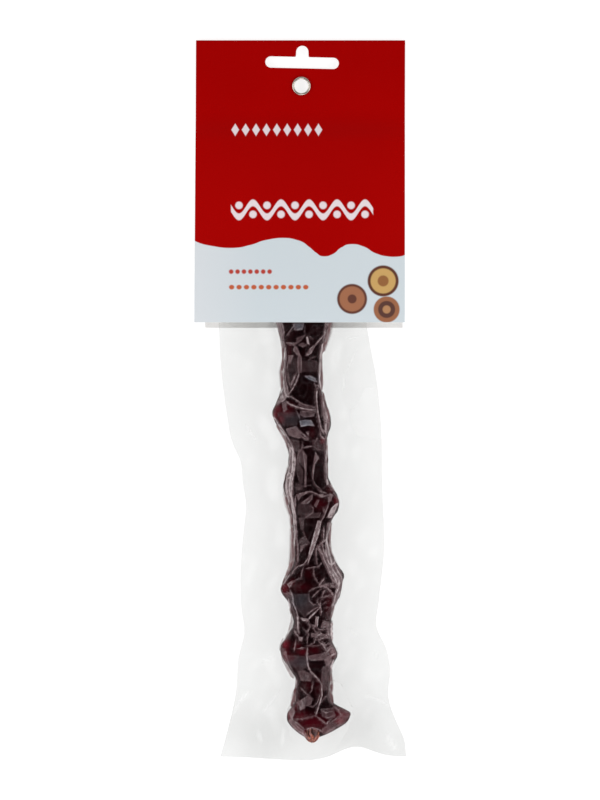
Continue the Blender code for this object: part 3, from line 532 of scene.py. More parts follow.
# Folds that stand out as thin pale lines, painted highlights along their crests: how pale, half the
# width seen, and the places along each
CREASE_HIGHLIGHTS = (
    (0.20, 0.8, (286, 337.5), (292.5, 327.5), (295, 325)),
    (0.38, 0.9, (281.6, 321), (284, 329), (284.6, 336)),
    (0.12, 0.6, (305, 323.5), (304.5, 330.5), (305, 335)),
    (0.26, 0.7, (308.5, 336), (313, 339.5)),
    (0.34, 0.9, (314, 346), (318, 341), (322, 336.5), (325.5, 332)),
    (0.18, 0.6, (307, 361), (312, 357.5), (317, 356)),
    (0.16, 0.6, (310, 360), (316, 362), (320, 364.5)),
    (0.26, 0.7, (289.5, 357), (287.8, 365), (288, 371)),
    (0.20, 1.3, (288.3, 372), (289, 379), (290.5, 387)),
    (0.24, 1.5, (296.5, 373), (293.5, 380), (291, 387)),
    (0.36, 0.9, (299.5, 373), (297, 381), (293, 389), (287, 397)),
    (0.28, 0.6, (301.3, 357), (301.4, 372)),
    (0.25, 0.6, (297.8, 358), (298.3, 372)),
    (0.34, 0.7, (313.5, 382.5), (315.5, 386), (318, 385), (318.2, 388), (314.5, 389)),
    (0.38, 1.0, (316.5, 388), (316, 396), (316.5, 404), (317.5, 412), (319, 420), (320.5, 428),
     (323, 434)),
    (0.20, 0.8, (320, 390), (321, 400), (322, 410), (321.5, 418)),
    (0.34, 0.7, (285.5, 397), (291, 396.2), (297, 400.5), (303, 404.5), (307.5, 405.8)),
    (0.42, 0.9, (285, 400), (290, 404), (297, 407), (304, 408.8), (310, 409.8), (316, 409.5)),
    (0.22, 0.7, (296, 410.5), (299, 415), (300, 420)),
    (0.55, 0.9, (273, 415), (277, 420.5), (281, 428), (283.5, 434.5), (288, 442), (293, 450),
     (295.6, 454)),
    (0.50, 0.9, (295.6, 454), (295.5, 465), (294, 475), (292.4, 482), (292, 494), (294, 505),
     (296, 515), (297, 526)),
    (0.30, 0.7, (297.5, 429), (303, 434), (309, 438.8)),
    (0.30, 0.7, (299, 434.5), (304, 438), (308, 440.6)),
    (0.42, 0.8, (306, 437.5), (308.6, 439.8)),
    (0.36, 0.8, (319, 431.5), (320.5, 436), (323.5, 439), (326, 437), (325, 432.5)),
    (0.26, 0.7, (322, 427.5), (323.5, 434)),
    (0.55, 0.9, (322.5, 430), (326, 433.5), (325.5, 437)),
    (0.30, 0.8, (317.5, 489.5), (322, 492), (327, 493.5)),
    (0.36, 0.8, (297, 527), (297.4, 543)),
    (0.36, 0.9, (323.6, 527), (323, 540)),
    (0.70, 1.0, (289.2, 599), (291.2, 607), (291.6, 614)),
    (0.22, 0.7, (313, 444.8), (316, 440), (318, 436)),
    (0.34, 0.7, (302, 448.3), (307, 446.7), (312.5, 446)),
    (0.20, 0.7, (312, 446), (316, 449), (325, 450.8)),
    (0.24, 0.6, (303, 441.5), (302, 448), (298, 455.5), (297.5, 462)),
    (0.20, 0.8, (313, 480.5), (314.5, 484.5), (319, 488), (322, 490.5)),
    (0.24, 0.6, (322, 463), (327, 466)),
    (0.62, 1.0, (328.5, 481), (331, 487), (334, 491.5)),
    (0.34, 0.8, (296, 496), (295.4, 502), (296, 509)),
    (0.36, 0.9, (321.5, 540), (322.5, 548), (324.5, 556)),
    (0.95, 1.3, (330.6, 621), (330.2, 631), (331, 641)),
    (0.70, 1.2, (332.5, 660), (330.2, 667), (330.6, 675)),
    (0.16, 0.6, (295, 487), (300, 488.3), (303, 486), (311, 485.2)),
    (0.32, 0.8, (297, 494.5), (303, 493), (310, 491.5), (313, 492.2), (318, 495), (322, 496.5),
     (328, 495), (334, 493.5)),
    (0.16, 0.6, (322.5, 489), (326, 486), (328.5, 481)),
    (0.32, 0.8, (328.5, 503), (326.5, 508.5), (324, 515), (320.5, 522)),
    (0.30, 0.7, (323, 507), (324, 512.5)),
    (0.22, 0.6, (310, 504.5), (313, 508), (313, 512), (308, 516), (303, 519)),
    (0.38, 0.9, (294.6, 528), (295, 538), (295.2, 545), (292.5, 552)),
    (0.28, 1.1, (298, 541), (298.2, 552), (298.3, 563)),
    (0.24, 0.7, (300, 546), (309.5, 544)),
    (0.16, 0.6, (302, 528), (306, 538), (309.5, 543)),
    (0.32, 0.8, (291, 576), (295, 569.4), (298.6, 566), (304, 564.4), (307.7, 559), (308.6, 555)),
    (0.22, 1.2, (316.4, 545), (315.8, 552), (316.4, 561.6), (317.6, 566)),
    (0.28, 0.7, (305, 568.7), (313, 567.3), (318, 566.8), (322, 562)),
    (0.27, 0.7, (303.6, 567), (302, 573), (301.6, 579)),
    (0.25, 0.8, (313.6, 568), (314, 575.5), (318, 583.4)),
    (0.22, 0.8, (293, 583), (296.5, 579.5), (300, 578.3), (303, 579)),
    (0.34, 1.0, (330.5, 530), (327, 537), (321, 544.8)),
    (0.26, 0.9, (323.6, 540), (321, 543), (318.4, 545.4)),
    (0.34, 1.3, (318.2, 586.6), (321, 582), (324.4, 577.4)),
    (0.40, 0.8, (324.4, 561), (327.2, 567), (330.8, 576)),
    (0.34, 0.8, (333.2, 561), (337.4, 571), (341, 578), (342, 583)),
    (0.28, 0.7, (335.6, 565), (339.2, 569), (341.6, 573.6)),
    (0.28, 1.3, (317, 587), (322, 586), (326.8, 587.8), (331.4, 593), (334.4, 600)),
    (0.26, 0.8, (311.6, 598.2), (314.5, 594.4), (318, 591), (321, 589)),
    (0.32, 1.2, (321.6, 596), (323.2, 591.8), (325, 589.5)),
    (0.20, 0.9, (318.2, 598.2), (326, 595.8), (332, 597.6)),
    (0.26, 0.8, (308.5, 592), (312, 589), (318, 587)),
    (0.26, 0.6, (309, 593.5), (309, 600), (313, 604.6), (318, 604)),
    (0.22, 0.8, (318, 597), (317.2, 602), (320, 606), (321, 612.5)),
    (0.18, 0.8, (320, 600.5), (325, 597), (331, 594)),
    (0.20, 0.7, (321, 605.5), (325, 602), (328.5, 601)),
    (0.16, 0.7, (323, 608), (330.5, 607)),
    (0.18, 0.8, (322, 596), (325, 590)),
    (0.38, 0.8, (290.5, 590), (293.5, 596.5), (293.6, 603), (297, 611), (298, 615)),
    (0.42, 1.4, (298, 614), (298.4, 620), (298.4, 628), (299.6, 634)),
    (0.30, 0.7, (306.8, 614.4), (312.5, 610.3), (318.8, 606)),
    (0.30, 0.8, (320.2, 601), (320, 607), (321.2, 611), (320.6, 615.6)),
    (0.28, 0.7, (308, 620.4), (310.4, 626.6), (308, 631), (305.4, 635)),
    (0.36, 1.4, (294.2, 629.8), (296.6, 633.4), (299, 637)),
    (0.32, 0.8, (296.4, 639), (295.6, 645), (294.2, 651.6)),
    (0.24, 0.6, (309.2, 633.6), (307.4, 638.4), (307.4, 645.6)),
    (0.30, 0.8, (283, 648), (284.6, 653), (287, 657.6)),
    (0.22, 0.7, (307, 614), (313, 609.5), (319, 606.5)),
    (0.24, 1.0, (301, 619), (305, 620.3), (308.8, 622), (310, 628)),
    (0.18, 0.6, (320.4, 606), (320.2, 616)),
    (0.14, 0.8, (326, 612), (328, 617), (325, 622)),
    (0.26, 0.7, (303, 628), (309, 634), (306, 641)),
    (0.28, 0.7, (312, 626), (317, 634), (314, 643), (309, 645)),
    (0.26, 0.7, (318, 630), (324, 637), (328, 633)),
    (0.24, 0.7, (320, 640), (326, 645), (331, 641)),
    (0.22, 0.6, (305, 645.5), (313, 646), (320, 645)),
    (0.30, 0.7, (310, 623.8), (315, 626.5), (319.5, 629.7), (325, 629.5), (330, 631)),
    (0.32, 0.6, (311.5, 632.6), (316.6, 635.6), (321, 633.5), (325.5, 634.8)),
    (0.30, 0.6, (313, 638.5), (317, 640), (321, 638.8), (328, 637.6)),
    (0.28, 0.6, (318.2, 630), (317.2, 637), (319.6, 643.5)),
    (0.30, 0.7, (322, 641), (325, 645.5), (330, 642.6)),
    (0.40, 1.1, (318.8, 642), (323, 645), (326, 651.6)),
    (0.42, 1.5, (330.8, 646.8), (328.4, 649.6), (326, 652.2)),
    (0.30, 0.7, (328.5, 626), (326, 635), (321, 638)),
    (0.38, 0.9, (307.6, 648), (307, 657), (308.5, 667), (311, 671.5), (317, 678), (321, 684)),
    (0.38, 0.9, (321, 684), (321.6, 695), (319.2, 704), (317, 711), (315.5, 716.5)),
    (0.26, 0.6, (320, 694), (317, 703), (313, 707), (306, 705)),
    (0.38, 0.7, (298, 648.7), (302, 648), (306.5, 648.2)),
    (0.32, 0.7, (285, 648), (288, 660), (293, 671), (296.5, 679)),
    (0.24, 0.6, (313, 680), (312, 690), (309.5, 694)),
    (0.18, 1.2, (300, 687), (306, 693), (313, 699.5)),
    (0.20, 1.0, (320, 703), (325, 697), (330, 692)),
    (0.42, 0.8, (326.5, 657), (332, 654.8), (337, 652)),
    (0.32, 0.8, (325, 650), (329, 647), (331, 642.5)),
    (0.32, 0.8, (333, 706.5), (338, 710), (341, 716)),
    (0.16, 1.4, (316, 715.3), (310, 717.5), (300, 719.3), (294, 719)),
    (0.30, 0.8, (316, 716), (322, 720.5), (326, 724), (330.5, 719)),
    (0.32, 0.8, (291.5, 700), (290, 712), (293.5, 720), (290, 725)),
    (0.30, 0.8, (294, 720), (300, 725), (304.5, 729.5)),
    (0.16, 0.7, (297, 693), (296, 700), (299, 711)),
    (0.28, 0.8, (304.5, 729.8), (312, 727.6), (319, 730), (323.5, 732.5)),
    (0.24, 0.8, (322, 737), (330, 729), (344, 722.5)),
    (0.22, 0.6, (310, 730), (311, 736), (309.5, 741)),
    (0.22, 0.6, (316, 731), (315.5, 737), (317, 741)),
    (0.38, 0.6, (321, 710.5), (326, 713), (332, 711)),
    (0.32, 0.6, (322, 716), (328, 717.5), (335, 714.5)),
    (0.30, 0.5, (327, 708.5), (325, 713), (327.5, 718)),
    (0.26, 0.6, (287, 722), (293, 721), (299, 724.5)),
    (0.24, 0.6, (294.5, 699), (298.5, 704), (303.5, 702.5)),
    (0.26, 0.6, (331.5, 720.5), (338, 718), (343, 713.5)),
)

# Small flat spans of film off the coat, seen as grey panes of painted reflection: how pale, and their
# corners
PANE_REFLECTIONS = (
    (0.11, (322, 729), (345, 710.5), (351, 714), (341, 723.5), (328, 732), (323, 734)),
    (0.24, (287, 709), (292, 702), (295, 712), (292, 721)),
    (0.20, (297.5, 701), (302, 700), (305, 708), (300.5, 710)),
    (0.19, (293, 323.5), (304, 323), (302.4, 329.5), (294.5, 330.5)),
    (0.13, (285.5, 342.3), (296, 342.8), (294.5, 345.8), (289, 345)),
    (0.11, (297, 338), (306, 334.5), (300.5, 341), (296, 344.5)),
    (0.36, (306, 337), (307.5, 336.5), (309.6, 345), (307, 343.5)),
    (0.18, (293, 350), (295, 345.8), (297, 347), (301, 357), (298.8, 357)),
    (0.11, (298, 345), (302, 342.8), (307.5, 345), (303, 347.3)),
    (0.18, (305.5, 355.5), (309, 349), (313.5, 345.3), (314.8, 347), (311, 353.5), (307, 355.8)),
    (0.15, (288, 355.3), (293.7, 355.7), (290, 364.5)),
    (0.15, (297.8, 357), (301.6, 357), (301.7, 372.5), (298, 372.5)),
    (0.05, (301.8, 361), (318, 363), (317.5, 371.5), (301.8, 371.5)),
    (0.04, (290, 360), (296.5, 358.5), (297, 371.5), (288.6, 371.5)),
    (0.22, (304, 376), (310, 375.6), (315, 377.8), (317, 382), (314, 381.8), (308, 378.7)),
    (0.36, (283, 394), (286, 399), (283, 402), (279, 402.5), (275.5, 405), (278, 398)),
    (0.17, (282, 402.5), (285.8, 402), (287, 410), (283.6, 412)),
    (0.11, (300, 402.8), (314.5, 406.5), (315.5, 408.6), (304, 407.6), (298, 405)),
    (0.13, (300.5, 411), (315, 411), (314, 416.3), (304, 417.2), (300, 414.5)),
    (0.24, (299.5, 421), (305, 419.8), (311, 420.3), (314.5, 426.2), (308, 425.2), (301, 426.8)),
    (0.045, (277, 413), (288, 412), (298, 413), (297, 425), (284, 426)),
    (0.17, (286, 429), (296, 426.3), (300.6, 431.5), (301.6, 436.5), (299, 438.5), (289, 435.6)),
    (0.18, (305.8, 432), (308.7, 431.3), (308.7, 436.7)),
    (0.07, (312, 440), (325.5, 441), (325.5, 450), (313, 446)),
    (0.07, (290, 438.7), (299, 440.5), (299.5, 448), (296, 452)),
    (0.10, (298, 450), (301.6, 449), (303.3, 458), (303.2, 467), (297.5, 460)),
    (0.17, (302.5, 449.5), (306.6, 456), (306.2, 470), (306.3, 487), (304.4, 487), (304.8, 470),
     (303.4, 458)),
    (0.17, (315.3, 452.3), (319.2, 458), (317, 461.3), (314.9, 464), (313.6, 474), (313, 481.5),
     (311.8, 474), (313.4, 462)),
    (0.12, (323.5, 466), (327, 467), (327.2, 484), (324.5, 481)),
    (0.07, (296.5, 460), (298, 461), (303, 471), (302.5, 483), (300, 483.5), (297, 474)),
    (0.07, (295.5, 483), (303, 485.5), (302, 490), (296, 490)),
    (0.15, (296.5, 495), (304, 493), (310, 491.5), (301, 496.5), (298.5, 500.5)),
    (0.30, (318.5, 494.5), (323.3, 494), (322.5, 497.3), (319.5, 497)),
    (0.15, (300.5, 503.3), (308, 498), (312.6, 493.8), (312.2, 499), (308, 503.4), (303, 504)),
    (0.13, (314, 505.5), (317, 500), (319.2, 500), (316.2, 507.3)),
    (0.19, (327.5, 497), (333, 494.3), (331, 500.5), (328.5, 502.5)),
    (0.42, (338.5, 502.5), (334.5, 512), (331, 518), (326.8, 517.3), (331, 508), (335, 504)),
    (0.20, (324, 660), (331, 656), (331, 663), (326, 666)),
    (0.05, (298, 504.5), (309, 504.5), (311.5, 511), (303, 517), (297.5, 514)),
    (0.08, (304.5, 513.6), (320.5, 512.8), (320, 517.3), (306, 518)),
    (0.09, (299, 518), (304, 517.5), (303.5, 529), (301, 530)),
    (0.33, (317.4, 520.8), (321.4, 521), (319.4, 532), (313.8, 549), (309.9, 559), (307.7, 565),
     (309, 552), (313.3, 536)),
    (0.08, (299, 540), (304, 536), (310, 543), (303, 545), (299, 543.5)),
    (0.16, (301, 546), (305.3, 546), (300, 552.5)),
    (0.21, (287.4, 584.6), (289.6, 582), (293.2, 581), (291.4, 586), (289.6, 588)),
    (0.06, (294.5, 594.5), (309, 594), (311, 603), (316, 606.5), (305, 617.5), (297, 609)),
    (0.14, (283, 593), (290, 592), (293, 598), (292, 605.5), (285, 597.5)),
    (0.32, (308, 619.6), (310.4, 615.6), (317, 609.6), (320.6, 607), (315, 613.4), (309.5, 619.2)),
    (0.30, (300.8, 617.8), (308, 618.8), (309, 621), (302.6, 620.8)),
    (0.28, (315.6, 616.5), (318.6, 617), (317.4, 626.6), (314.8, 626)),
    (0.16, (323, 620.4), (329, 622.2), (327.2, 628.4), (320.6, 627.4)),
    (0.26, (327, 632.4), (330.8, 629.4), (329.6, 638.6)),
    (0.18, (311, 633.6), (316.4, 633.4), (316.4, 636.8), (311, 637.2)),
    (0.16, (318.2, 634), (327.6, 634.8), (328.4, 637.4), (320, 638.6)),
    (0.24, (331, 646), (337.6, 647.6), (338.4, 654), (331, 656)),
    (0.25, (298.6, 636.5), (303, 637.5), (302, 641.4), (299, 640.5)),
    (0.06, (288, 655.5), (306, 656.5), (306.5, 667), (299, 672), (290, 663)),
    (0.12, (298, 671), (304, 670.6), (312.3, 675), (311, 681.2), (301, 680.5)),
    (0.14, (301, 700), (307, 696), (312.3, 699), (311, 704.3), (305, 706.4), (302, 703.6)),
    (0.10, (322, 668), (331, 664), (332.5, 690), (323, 690.3), (321, 683)),
    (0.12, (325, 672.3), (329, 670), (329.5, 680.5), (325, 680.5)),
    (0.14, (307.5, 656), (320, 654), (330, 650), (333.5, 656), (325, 659.6), (318, 660.4),
     (310.5, 660.6)),
    (0.10, (321, 709), (333.5, 708), (335, 717), (329, 719.5), (322, 716)),
    (0.10, (334, 706), (344, 707.5), (351, 712), (345, 718), (337, 712)),
    (0.15, (322, 737), (327, 730.5), (336, 727), (331, 732)),
)

# Bands of close upright folds at the sweet's sides, their paleness and tone painted sheen and shade:
# how pale, how light their tone is beside the sweet, and the middle and half the width along them
SWEET_MIDDLE = 308  # tells the bands on its left from those on its right
BUNDLES = (
    (0.50, 0.55, (277.6, 319, 2.4), (280.4, 332, 2.4), (282.4, 341, 2.2), (284, 350, 2.4),
     (284.6, 358, 2.6)),
    (0.50, 0.8, (285, 358, 1.4), (284.8, 367, 1.7), (284.4, 374, 1.6), (285.6, 383, 1.6),
     (287.2, 390, 1.6), (288, 396, 1.4)),
    (0.52, 0.45, (283.2, 343, 1.8), (283.6, 358, 1.6), (281.6, 372, 2.8), (282.6, 386, 2.6),
     (285, 397, 1.8)),
    (0.38, 0.2, (284.2, 378, 2.2), (283.4, 388, 2.6), (281.5, 396, 2.8), (278.4, 403, 1.8)),
    (0.50, 0.32, (329.4, 319, 4.2), (327.8, 332, 4.2), (325.4, 342, 3.2), (323.4, 350, 2.2)),
    (0.80, 1.2, (322.6, 345, 1.4), (320.8, 355, 1.6), (320.4, 370, 2.4), (321, 382, 2.6),
     (321.2, 389, 1.6)),
    (0.42, 0.6, (322.6, 394, 1.6), (324, 404, 2.6), (326, 416, 3.0), (326.6, 430, 2.4)),
    (0.55, 0.9, (278.6, 426, 2.6), (286.8, 440, 3.0), (291, 450, 3.4), (292, 457, 3.2),
     (291, 466, 3.6), (289.3, 475, 4.4)),
    (0.55, 0.8, (289.3, 475, 4.4), (288.3, 485, 5.0), (288, 495, 5.2), (289.6, 505, 4.8),
     (292.3, 515, 3.6), (293.2, 530, 3.0)),
    (0.50, 0.75, (326.2, 440, 1.2), (326.3, 454, 1.8), (326.4, 466, 1.6), (327, 484, 1.2)),
    (0.62, 0.75, (293.0, 530, 3.4), (292.8, 545, 3.4), (291.7, 556, 2.6), (290.4, 566, 2.2),
     (287.6, 575, 2.6), (283.6, 583, 1.4)),
    (0.55, 0.9, (329.5, 524, 2.6), (328, 540, 3.0), (328.5, 553, 3.8), (331, 561, 4.4)),
    (0.46, 0.5, (330, 556, 4.0), (332.5, 565, 5.2), (336.6, 575, 5.6), (339, 583, 3.4)),
    (0.36, 0.45, (318, 546, 1.4), (321.5, 554, 2.2), (325, 562, 2.4), (329.5, 571, 2.6), (334, 580, 2.6)),
    (0.50, 0.35, (338.6, 580, 3.2), (338.2, 590, 3.0), (335.8, 598, 2.4), (333, 606, 2.0),
     (331.6, 613, 1.8), (330, 619, 1.0)),
    (0.26, 0.4, (321, 585.5, 1.4), (328, 585, 2.4), (335, 585.5, 2.6)),
    (0.36, 0.5, (291.8, 607, 1.2), (292.2, 614, 1.3), (291.6, 622, 1.4), (289.6, 632, 2.2),
     (286, 639, 1.4)),
    (0.50, 0.25, (296.6, 680, 1.0), (296.2, 688, 1.4), (294.6, 694, 2.6), (293.4, 700, 2.2),
     (292.4, 706, 1.4)),
    (0.50, 0.4, (330.6, 672, 1.4), (330.6, 682, 2.9), (330.4, 692, 2.6), (332, 702, 1.6)),
    (0.30, 0.4, (282, 640, 0.8), (281, 645, 1.3), (280.6, 650, 0.8)),
    (0.34, 0.6, (281, 648, 1.4), (283.6, 659, 2.2), (288, 668, 2.2), (292, 676, 1.6)),
    (0.34, 0.5, (291, 721, 1.6), (297, 728.5, 2.8), (303, 733.5, 2.6), (308.5, 739.5, 1.2)),
)

# Painted highlights in the bag's margins, as strokes and one pane: how pale, half the width, and the
# places
MARGIN_HIGHLIGHTS = (
    (0.30, 1.2, (246, 424), (250, 431), (256, 440.5)),
    (0.26, 1.2, (343.6, 372), (343.8, 391)),
    (0.26, 1.1, (355.4, 352), (351, 361), (349, 367)),
    (0.26, 1.0, (348, 337.6), (356, 338)),
    (0.22, 2.4, (386, 735), (391, 742), (396, 751)),
    (0.20, 1.4, (363, 699.5), (378, 701), (390, 707)),
    (0.18, 2.0, (263, 661), (274, 657)),
    (0.18, 1.8, (349, 630), (358, 639)),
    (0.20, 1.5, (374, 654), (379, 660)),
    (0.18, 1.6, (232, 716), (240, 700), (250, 690)),
    (0.16, 1.6, (262, 712), (272, 700), (280, 690)),
    (0.18, 1.4, (258, 729), (261, 741)),
    (0.16, 1.5, (284, 726), (282, 744)),
)
MARGIN_SHEEN_PANE = (
    0.16, (365, 386), (377, 390), (381, 410), (382, 440), (370, 437), (358, 436), (351, 426),
    (350, 410), (358, 404),
)

# How a drawn fold is shaped, in steps of the picture: its width beside the one given, how narrow
# and how pale it is at its ends, how its width wavers, and how high and wide it stands
FOLD_WIDTH = 0.78
FOLD_END = 0.45
FOLD_END_PALE = 0.6
FOLD_END_REACH = 4
FOLD_WAVER = 0.25
FOLD_WAVER_PACE = 1.3
FOLD_LIFT = 0.2
FOLD_LIFT_WIDTH = 1.6
FOLD_STREAK = 0.55
TWIN_SHARE, TWIN_OFF, TWIN_WIDTH = 0.35, 2.1, 0.6  # the faint line beside it, in its own widths
MARK_ROOM = 5.0

# A pane's rim, a painted highlight: how pale at most and as a share of the pane, and its place; then
# the depths over which the pane turns pale and rises
PANE_RIM_HIGHLIGHT = (0.09, 0.7)
PANE_RIM_DEPTH, PANE_RIM_WIDTH = 0.2, 0.5
PANE_EDGE = (-0.5, 0.5)
PANE_LIFT = 0.12
PANE_LIFT_EDGE = (-0.9, 1.3)

# How a band fades: over its edge, in its half widths; beside it near the sweet, in steps of the
# picture; and out in the margin, in its half widths. Then how its streaks wander along it, and the
# shares of its haze that are even, in streaks and in fine streaks
BAND_EDGE = (1.2, 0.75)
BAND_NEAR = (2.5, 0.5)
BAND_OUTER = (1.35, 0.3)
BAND_LIFT = (0.15, 0.5)
WANDER_LENGTHS = (6.3, 3.1)
WANDER_SIZES = (1.6, 0.6)
STREAK_PACE, FINE_STREAK_PACE, FINE_STREAK_WANDER = 1.9, 5.2, 1.3
STREAK_SHARES = (0.36, 0.46, 0.18)
BESIDE_SHARE, BESIDE_MOST = 1.65, 0.84
BAND_TONE = 0.72
BAND_TONE_RANGE = (0, 0.6)
BAND_TONE_FINE = 0.28
BAND_TONE_ALONG, BAND_TONE_LENGTH = 0.18, 5.2

# The crumpled net: the radius its pattern is rolled on, the size of its two kinds of cells, how much
# longer they are along the rod, how far they are off even rows, their field, and the width of their
# folds on the front ply and on the back one
NET_RADIUS = 11 * MM
NET_ROUND_OFF = 1 * MM
NET_CELL, FINE_CELL = 4.2 * MM, 2.1 * MM
NET_STRETCH = 1.5
NET_UNEVEN = (0.45, 0.7)
NET_FIELD = (22 * MM, -158 * MM, 70 * MM)
NET_WIDTHS = {1: (0.7 * MM, 0.5 * MM), -1: (0.8 * MM, 0.6 * MM)}
NET_SEEDS = {1: (21, 23), -1: (22, 24)}
LOOSE_CELLS = (0.45, 0.75)  # the range of cells' shares over which they are loose
BROKEN_NET, BROKEN_FINE = (0.25, 0.95), (0.4, 1.0)
# How pale the net is painted: reflections on the loose cells, highlights on the folds and fine folds.
NET_SHEEN = (0.05, 0.12, 0.08)  # of the loose cells, of the net's folds and of the fine folds
NET_LIFT = (0.25, 0.4, 0.15)
# Faint painted highlights of the net on the shown front.
FAINT_NET, FAINT_NET_CELLS = 0.016, (0.45, 0.95)
FAINT_FINE, FAINT_FINE_CELLS = 0.009, (0.6, 1.0)
SHOWN_NET_LIFT = 0.17

# The haze of the drawn marks: how it grows with their own paleness, its mottling and the length of
# that in the picture, and the fine folds on it
MARK_GROWTH = (0.47, 0.88)
MOTTLING, MOTTLING_LENGTH = 0.14, 7.0
FINE_ON_MARKS = 0.25
COVER_RANGE = (SHOWN_END - 1 * MM, SHOWN_END + 3 * MM)  # where they pass into the net under the card
WARM_RANGE = (0.05, 0.45)  # of haze, over which its warm tone goes from thin to full
BESIDE_RANGE = (0.05, 0.2)  # of haze, over which the margin's tone passes into a band's
BESIDE_SHARPNESS = 4

# The folds' height, and over what length they rise from the film's tip and sink to its crown; then
# the film's edge round the sweet, its gloss, and the haze and tones of the plies
FOLD_HEIGHT = 0.75 * MM
FOLD_FREE_TIP, FOLD_FREE_CROWN = 4 * MM, 6 * MM
OUTLINE_RANGE = (-1.0 * MM, -0.35 * MM)  # off the sweet's outline, where the ply comes to lie beside it
STEEP_PLACE, STEEP_WIDTH = 0.35 * MM, 1.1 * MM  # inside the outline, where the film is steep
EDGE_PLACE, EDGE_WIDTH = 0.9 * MM, 0.8 * MM
EDGE_UNEVENNESS, EDGE_LENGTH_ALONG = 0.25, 6 * MM
GLOSS_RANGE = (-2.4 * MM, -0.4 * MM)  # off the outline, over which the sweet's gloss ends
# Painted sheen on the film where it turns down the sweet's sides and is seen at a slant.
EDGE_SHEEN = 0.15  # of the film that turns down the sweet's sides
EDGE_SHADE = 0.47  # how much darker the tone is where the film is steep
MARGIN_GLOSS = 0.17
SWEET_GLOSS = (0.02, 1.5, 0.48)  # at least, for each share of paleness, and at most
MARGIN_HAZE = 0.035
MARGIN_CLOUDS, MARGIN_CLOUD_LENGTH = 0.3, 30 * MM
COVERED_HAZE = 0.09  # more, under the card
COVERED_RANGE = (29 * MM, 34 * MM)
STROKE_END, STROKE_END_REACH = 0.4, 5
STROKE_RANGE = (0, 0.08)
PANE_SOFTNESS = 1
# Tones of the haze over the sweet, painted highlight and reflection, warmer where it is thin.
WARM_THIN = (0.80, 0.49, 0.525)
WARM_FULL = (0.80, 0.67, 0.68)
# The tone of painted bluish reflections over the sweet.
REFLECTED_BLUE = (0.62, 0.63, 0.74)
FOLD_SHADE = (0.17, 0.07, 0.075)
FOLD_SHINE = (0.49, 0.38, 0.38)
MARGIN_TONE = (0.82, 0.82, 0.815)
# The near white of the painted highlights in the margins.
HIGHLIGHT_TONE = (0.98, 0.98, 0.98)
FOOT_HAZE = 0.035
FOOT_TONE = (0.3, 0.3, 0.295)
FOOT_RANGE = (-110 * MM, -147 * MM)
CLEAR_TINT = (0.935, 0.937, 0.934, 1)
FILM_SHEEN = 0.07  # seen straight on; it grows to 1 along the film
FILM_ROUGHNESS = 0.22
# Where the haze over the sweet is a painted bluish reflection: the middle, and half the width and height
BLUE_REFLECTION_PLACES = (
    (310, 379, 8, 4), (306, 423, 9, 5), (290, 418, 9, 6), (299, 326, 6, 5), (301, 600, 8, 9),
    (298, 662, 8, 5),
)


def seam_height(x, y):
    """Height of the film's margins: level beside the sweet, drooping outwards in a slow ripple, and
    eased down to the clamped stack under the eyelet."""
    clamped = ease(SEAM_FALL_START, SEAM_FALL_END, y)
    out = (x - axis_sideways(y)) / MARGIN_DROOP_REACH
    droop = MARGIN_DROOP * ease(*DROOP_RANGE, np.abs(out))
    phase = y / RIPPLE_LENGTH + RIPPLE_SHIFT * np.sign(out)
    ripple = RIPPLE * out * np.abs(out) * np.sin(2 * math.pi * phase)
    free = SEAM_HEIGHT - droop + ripple
    level = (STACK_BACK + STACK_FRONT) / 2
    return free + (level - free) * clamped


def bag_foot(x):
    """The bag's lower edge: a bell curve down below the sweet, and one up to the right of it."""
    sag, wave = (high * np.exp(-(((x - at) / wide) ** 2)) for high, at, wide in (FOOT_SAG, FOOT_WAVE))
    return BAG_FOOT - sag + wave


def kernel_reach(y, angle):
    """How far the kernel reaches from the rod's axis: the outer root of the ellipse of its section,
    whose middle lies forward of the axis, along a line at the angle."""
    share = (y - KERNEL_CENTRE[1]) / (KERNEL_HALF_SIZE[1] + KERNEL_END_ROOM)
    size = np.sqrt(np.clip(1 - share**2, 1e-6, 1))
    wide, high = KERNEL_HALF_SIZE[0] * size, KERNEL_HALF_SIZE[2] * size
    square = (np.cos(angle) / wide) ** 2 + (np.sin(angle) / high) ** 2
    rise = KERNEL_CENTRE[2] - AXIS_HEIGHT
    forward = rise * np.sin(angle) / high**2
    root = np.sqrt(np.maximum(forward**2 - square * ((rise / high) ** 2 - 1), 0))
    return np.maximum((forward + root) / square, 0) * (np.abs(share) < 1)


def sweet_radius(y, angle):
    """The rod's radius with its rounded ends, or the bare kernel's where that stands out further."""
    low = np.clip((y - TIP_CAP_START) / (ROD_TIP - TIP_CAP_START), 0, 1)
    high = np.clip((y - CROWN_CAP_START) / (ROD_CROWN - CROWN_CAP_START), 0, 1)
    shrink = (1 - low**2) ** (TIP_FULLNESS / 2) * (1 - high**2) ** (CROWN_FULLNESS / 2)
    return np.maximum(rod_radius(y, angle) * shrink, kernel_reach(y, angle))


def film_radius(y, angle):
    """The sweet's radius plus a share of the room under straight spans that fall from each nut at
    one slope; the share is small in front and nearly whole at the sides."""
    bare = sweet_radius(y, angle)
    spanned = bare
    for step in SPAN_STEPS:
        spanned = np.maximum(spanned, sweet_radius(y + step, angle) - SPAN_SLOPE * abs(step))
    share = SPAN_SHARE_FRONT + SPAN_SHARE_SIDE * np.abs(np.cos(angle)) ** SPAN_SHARE_POWER
    return bare + share * (spanned - bare), spanned - bare


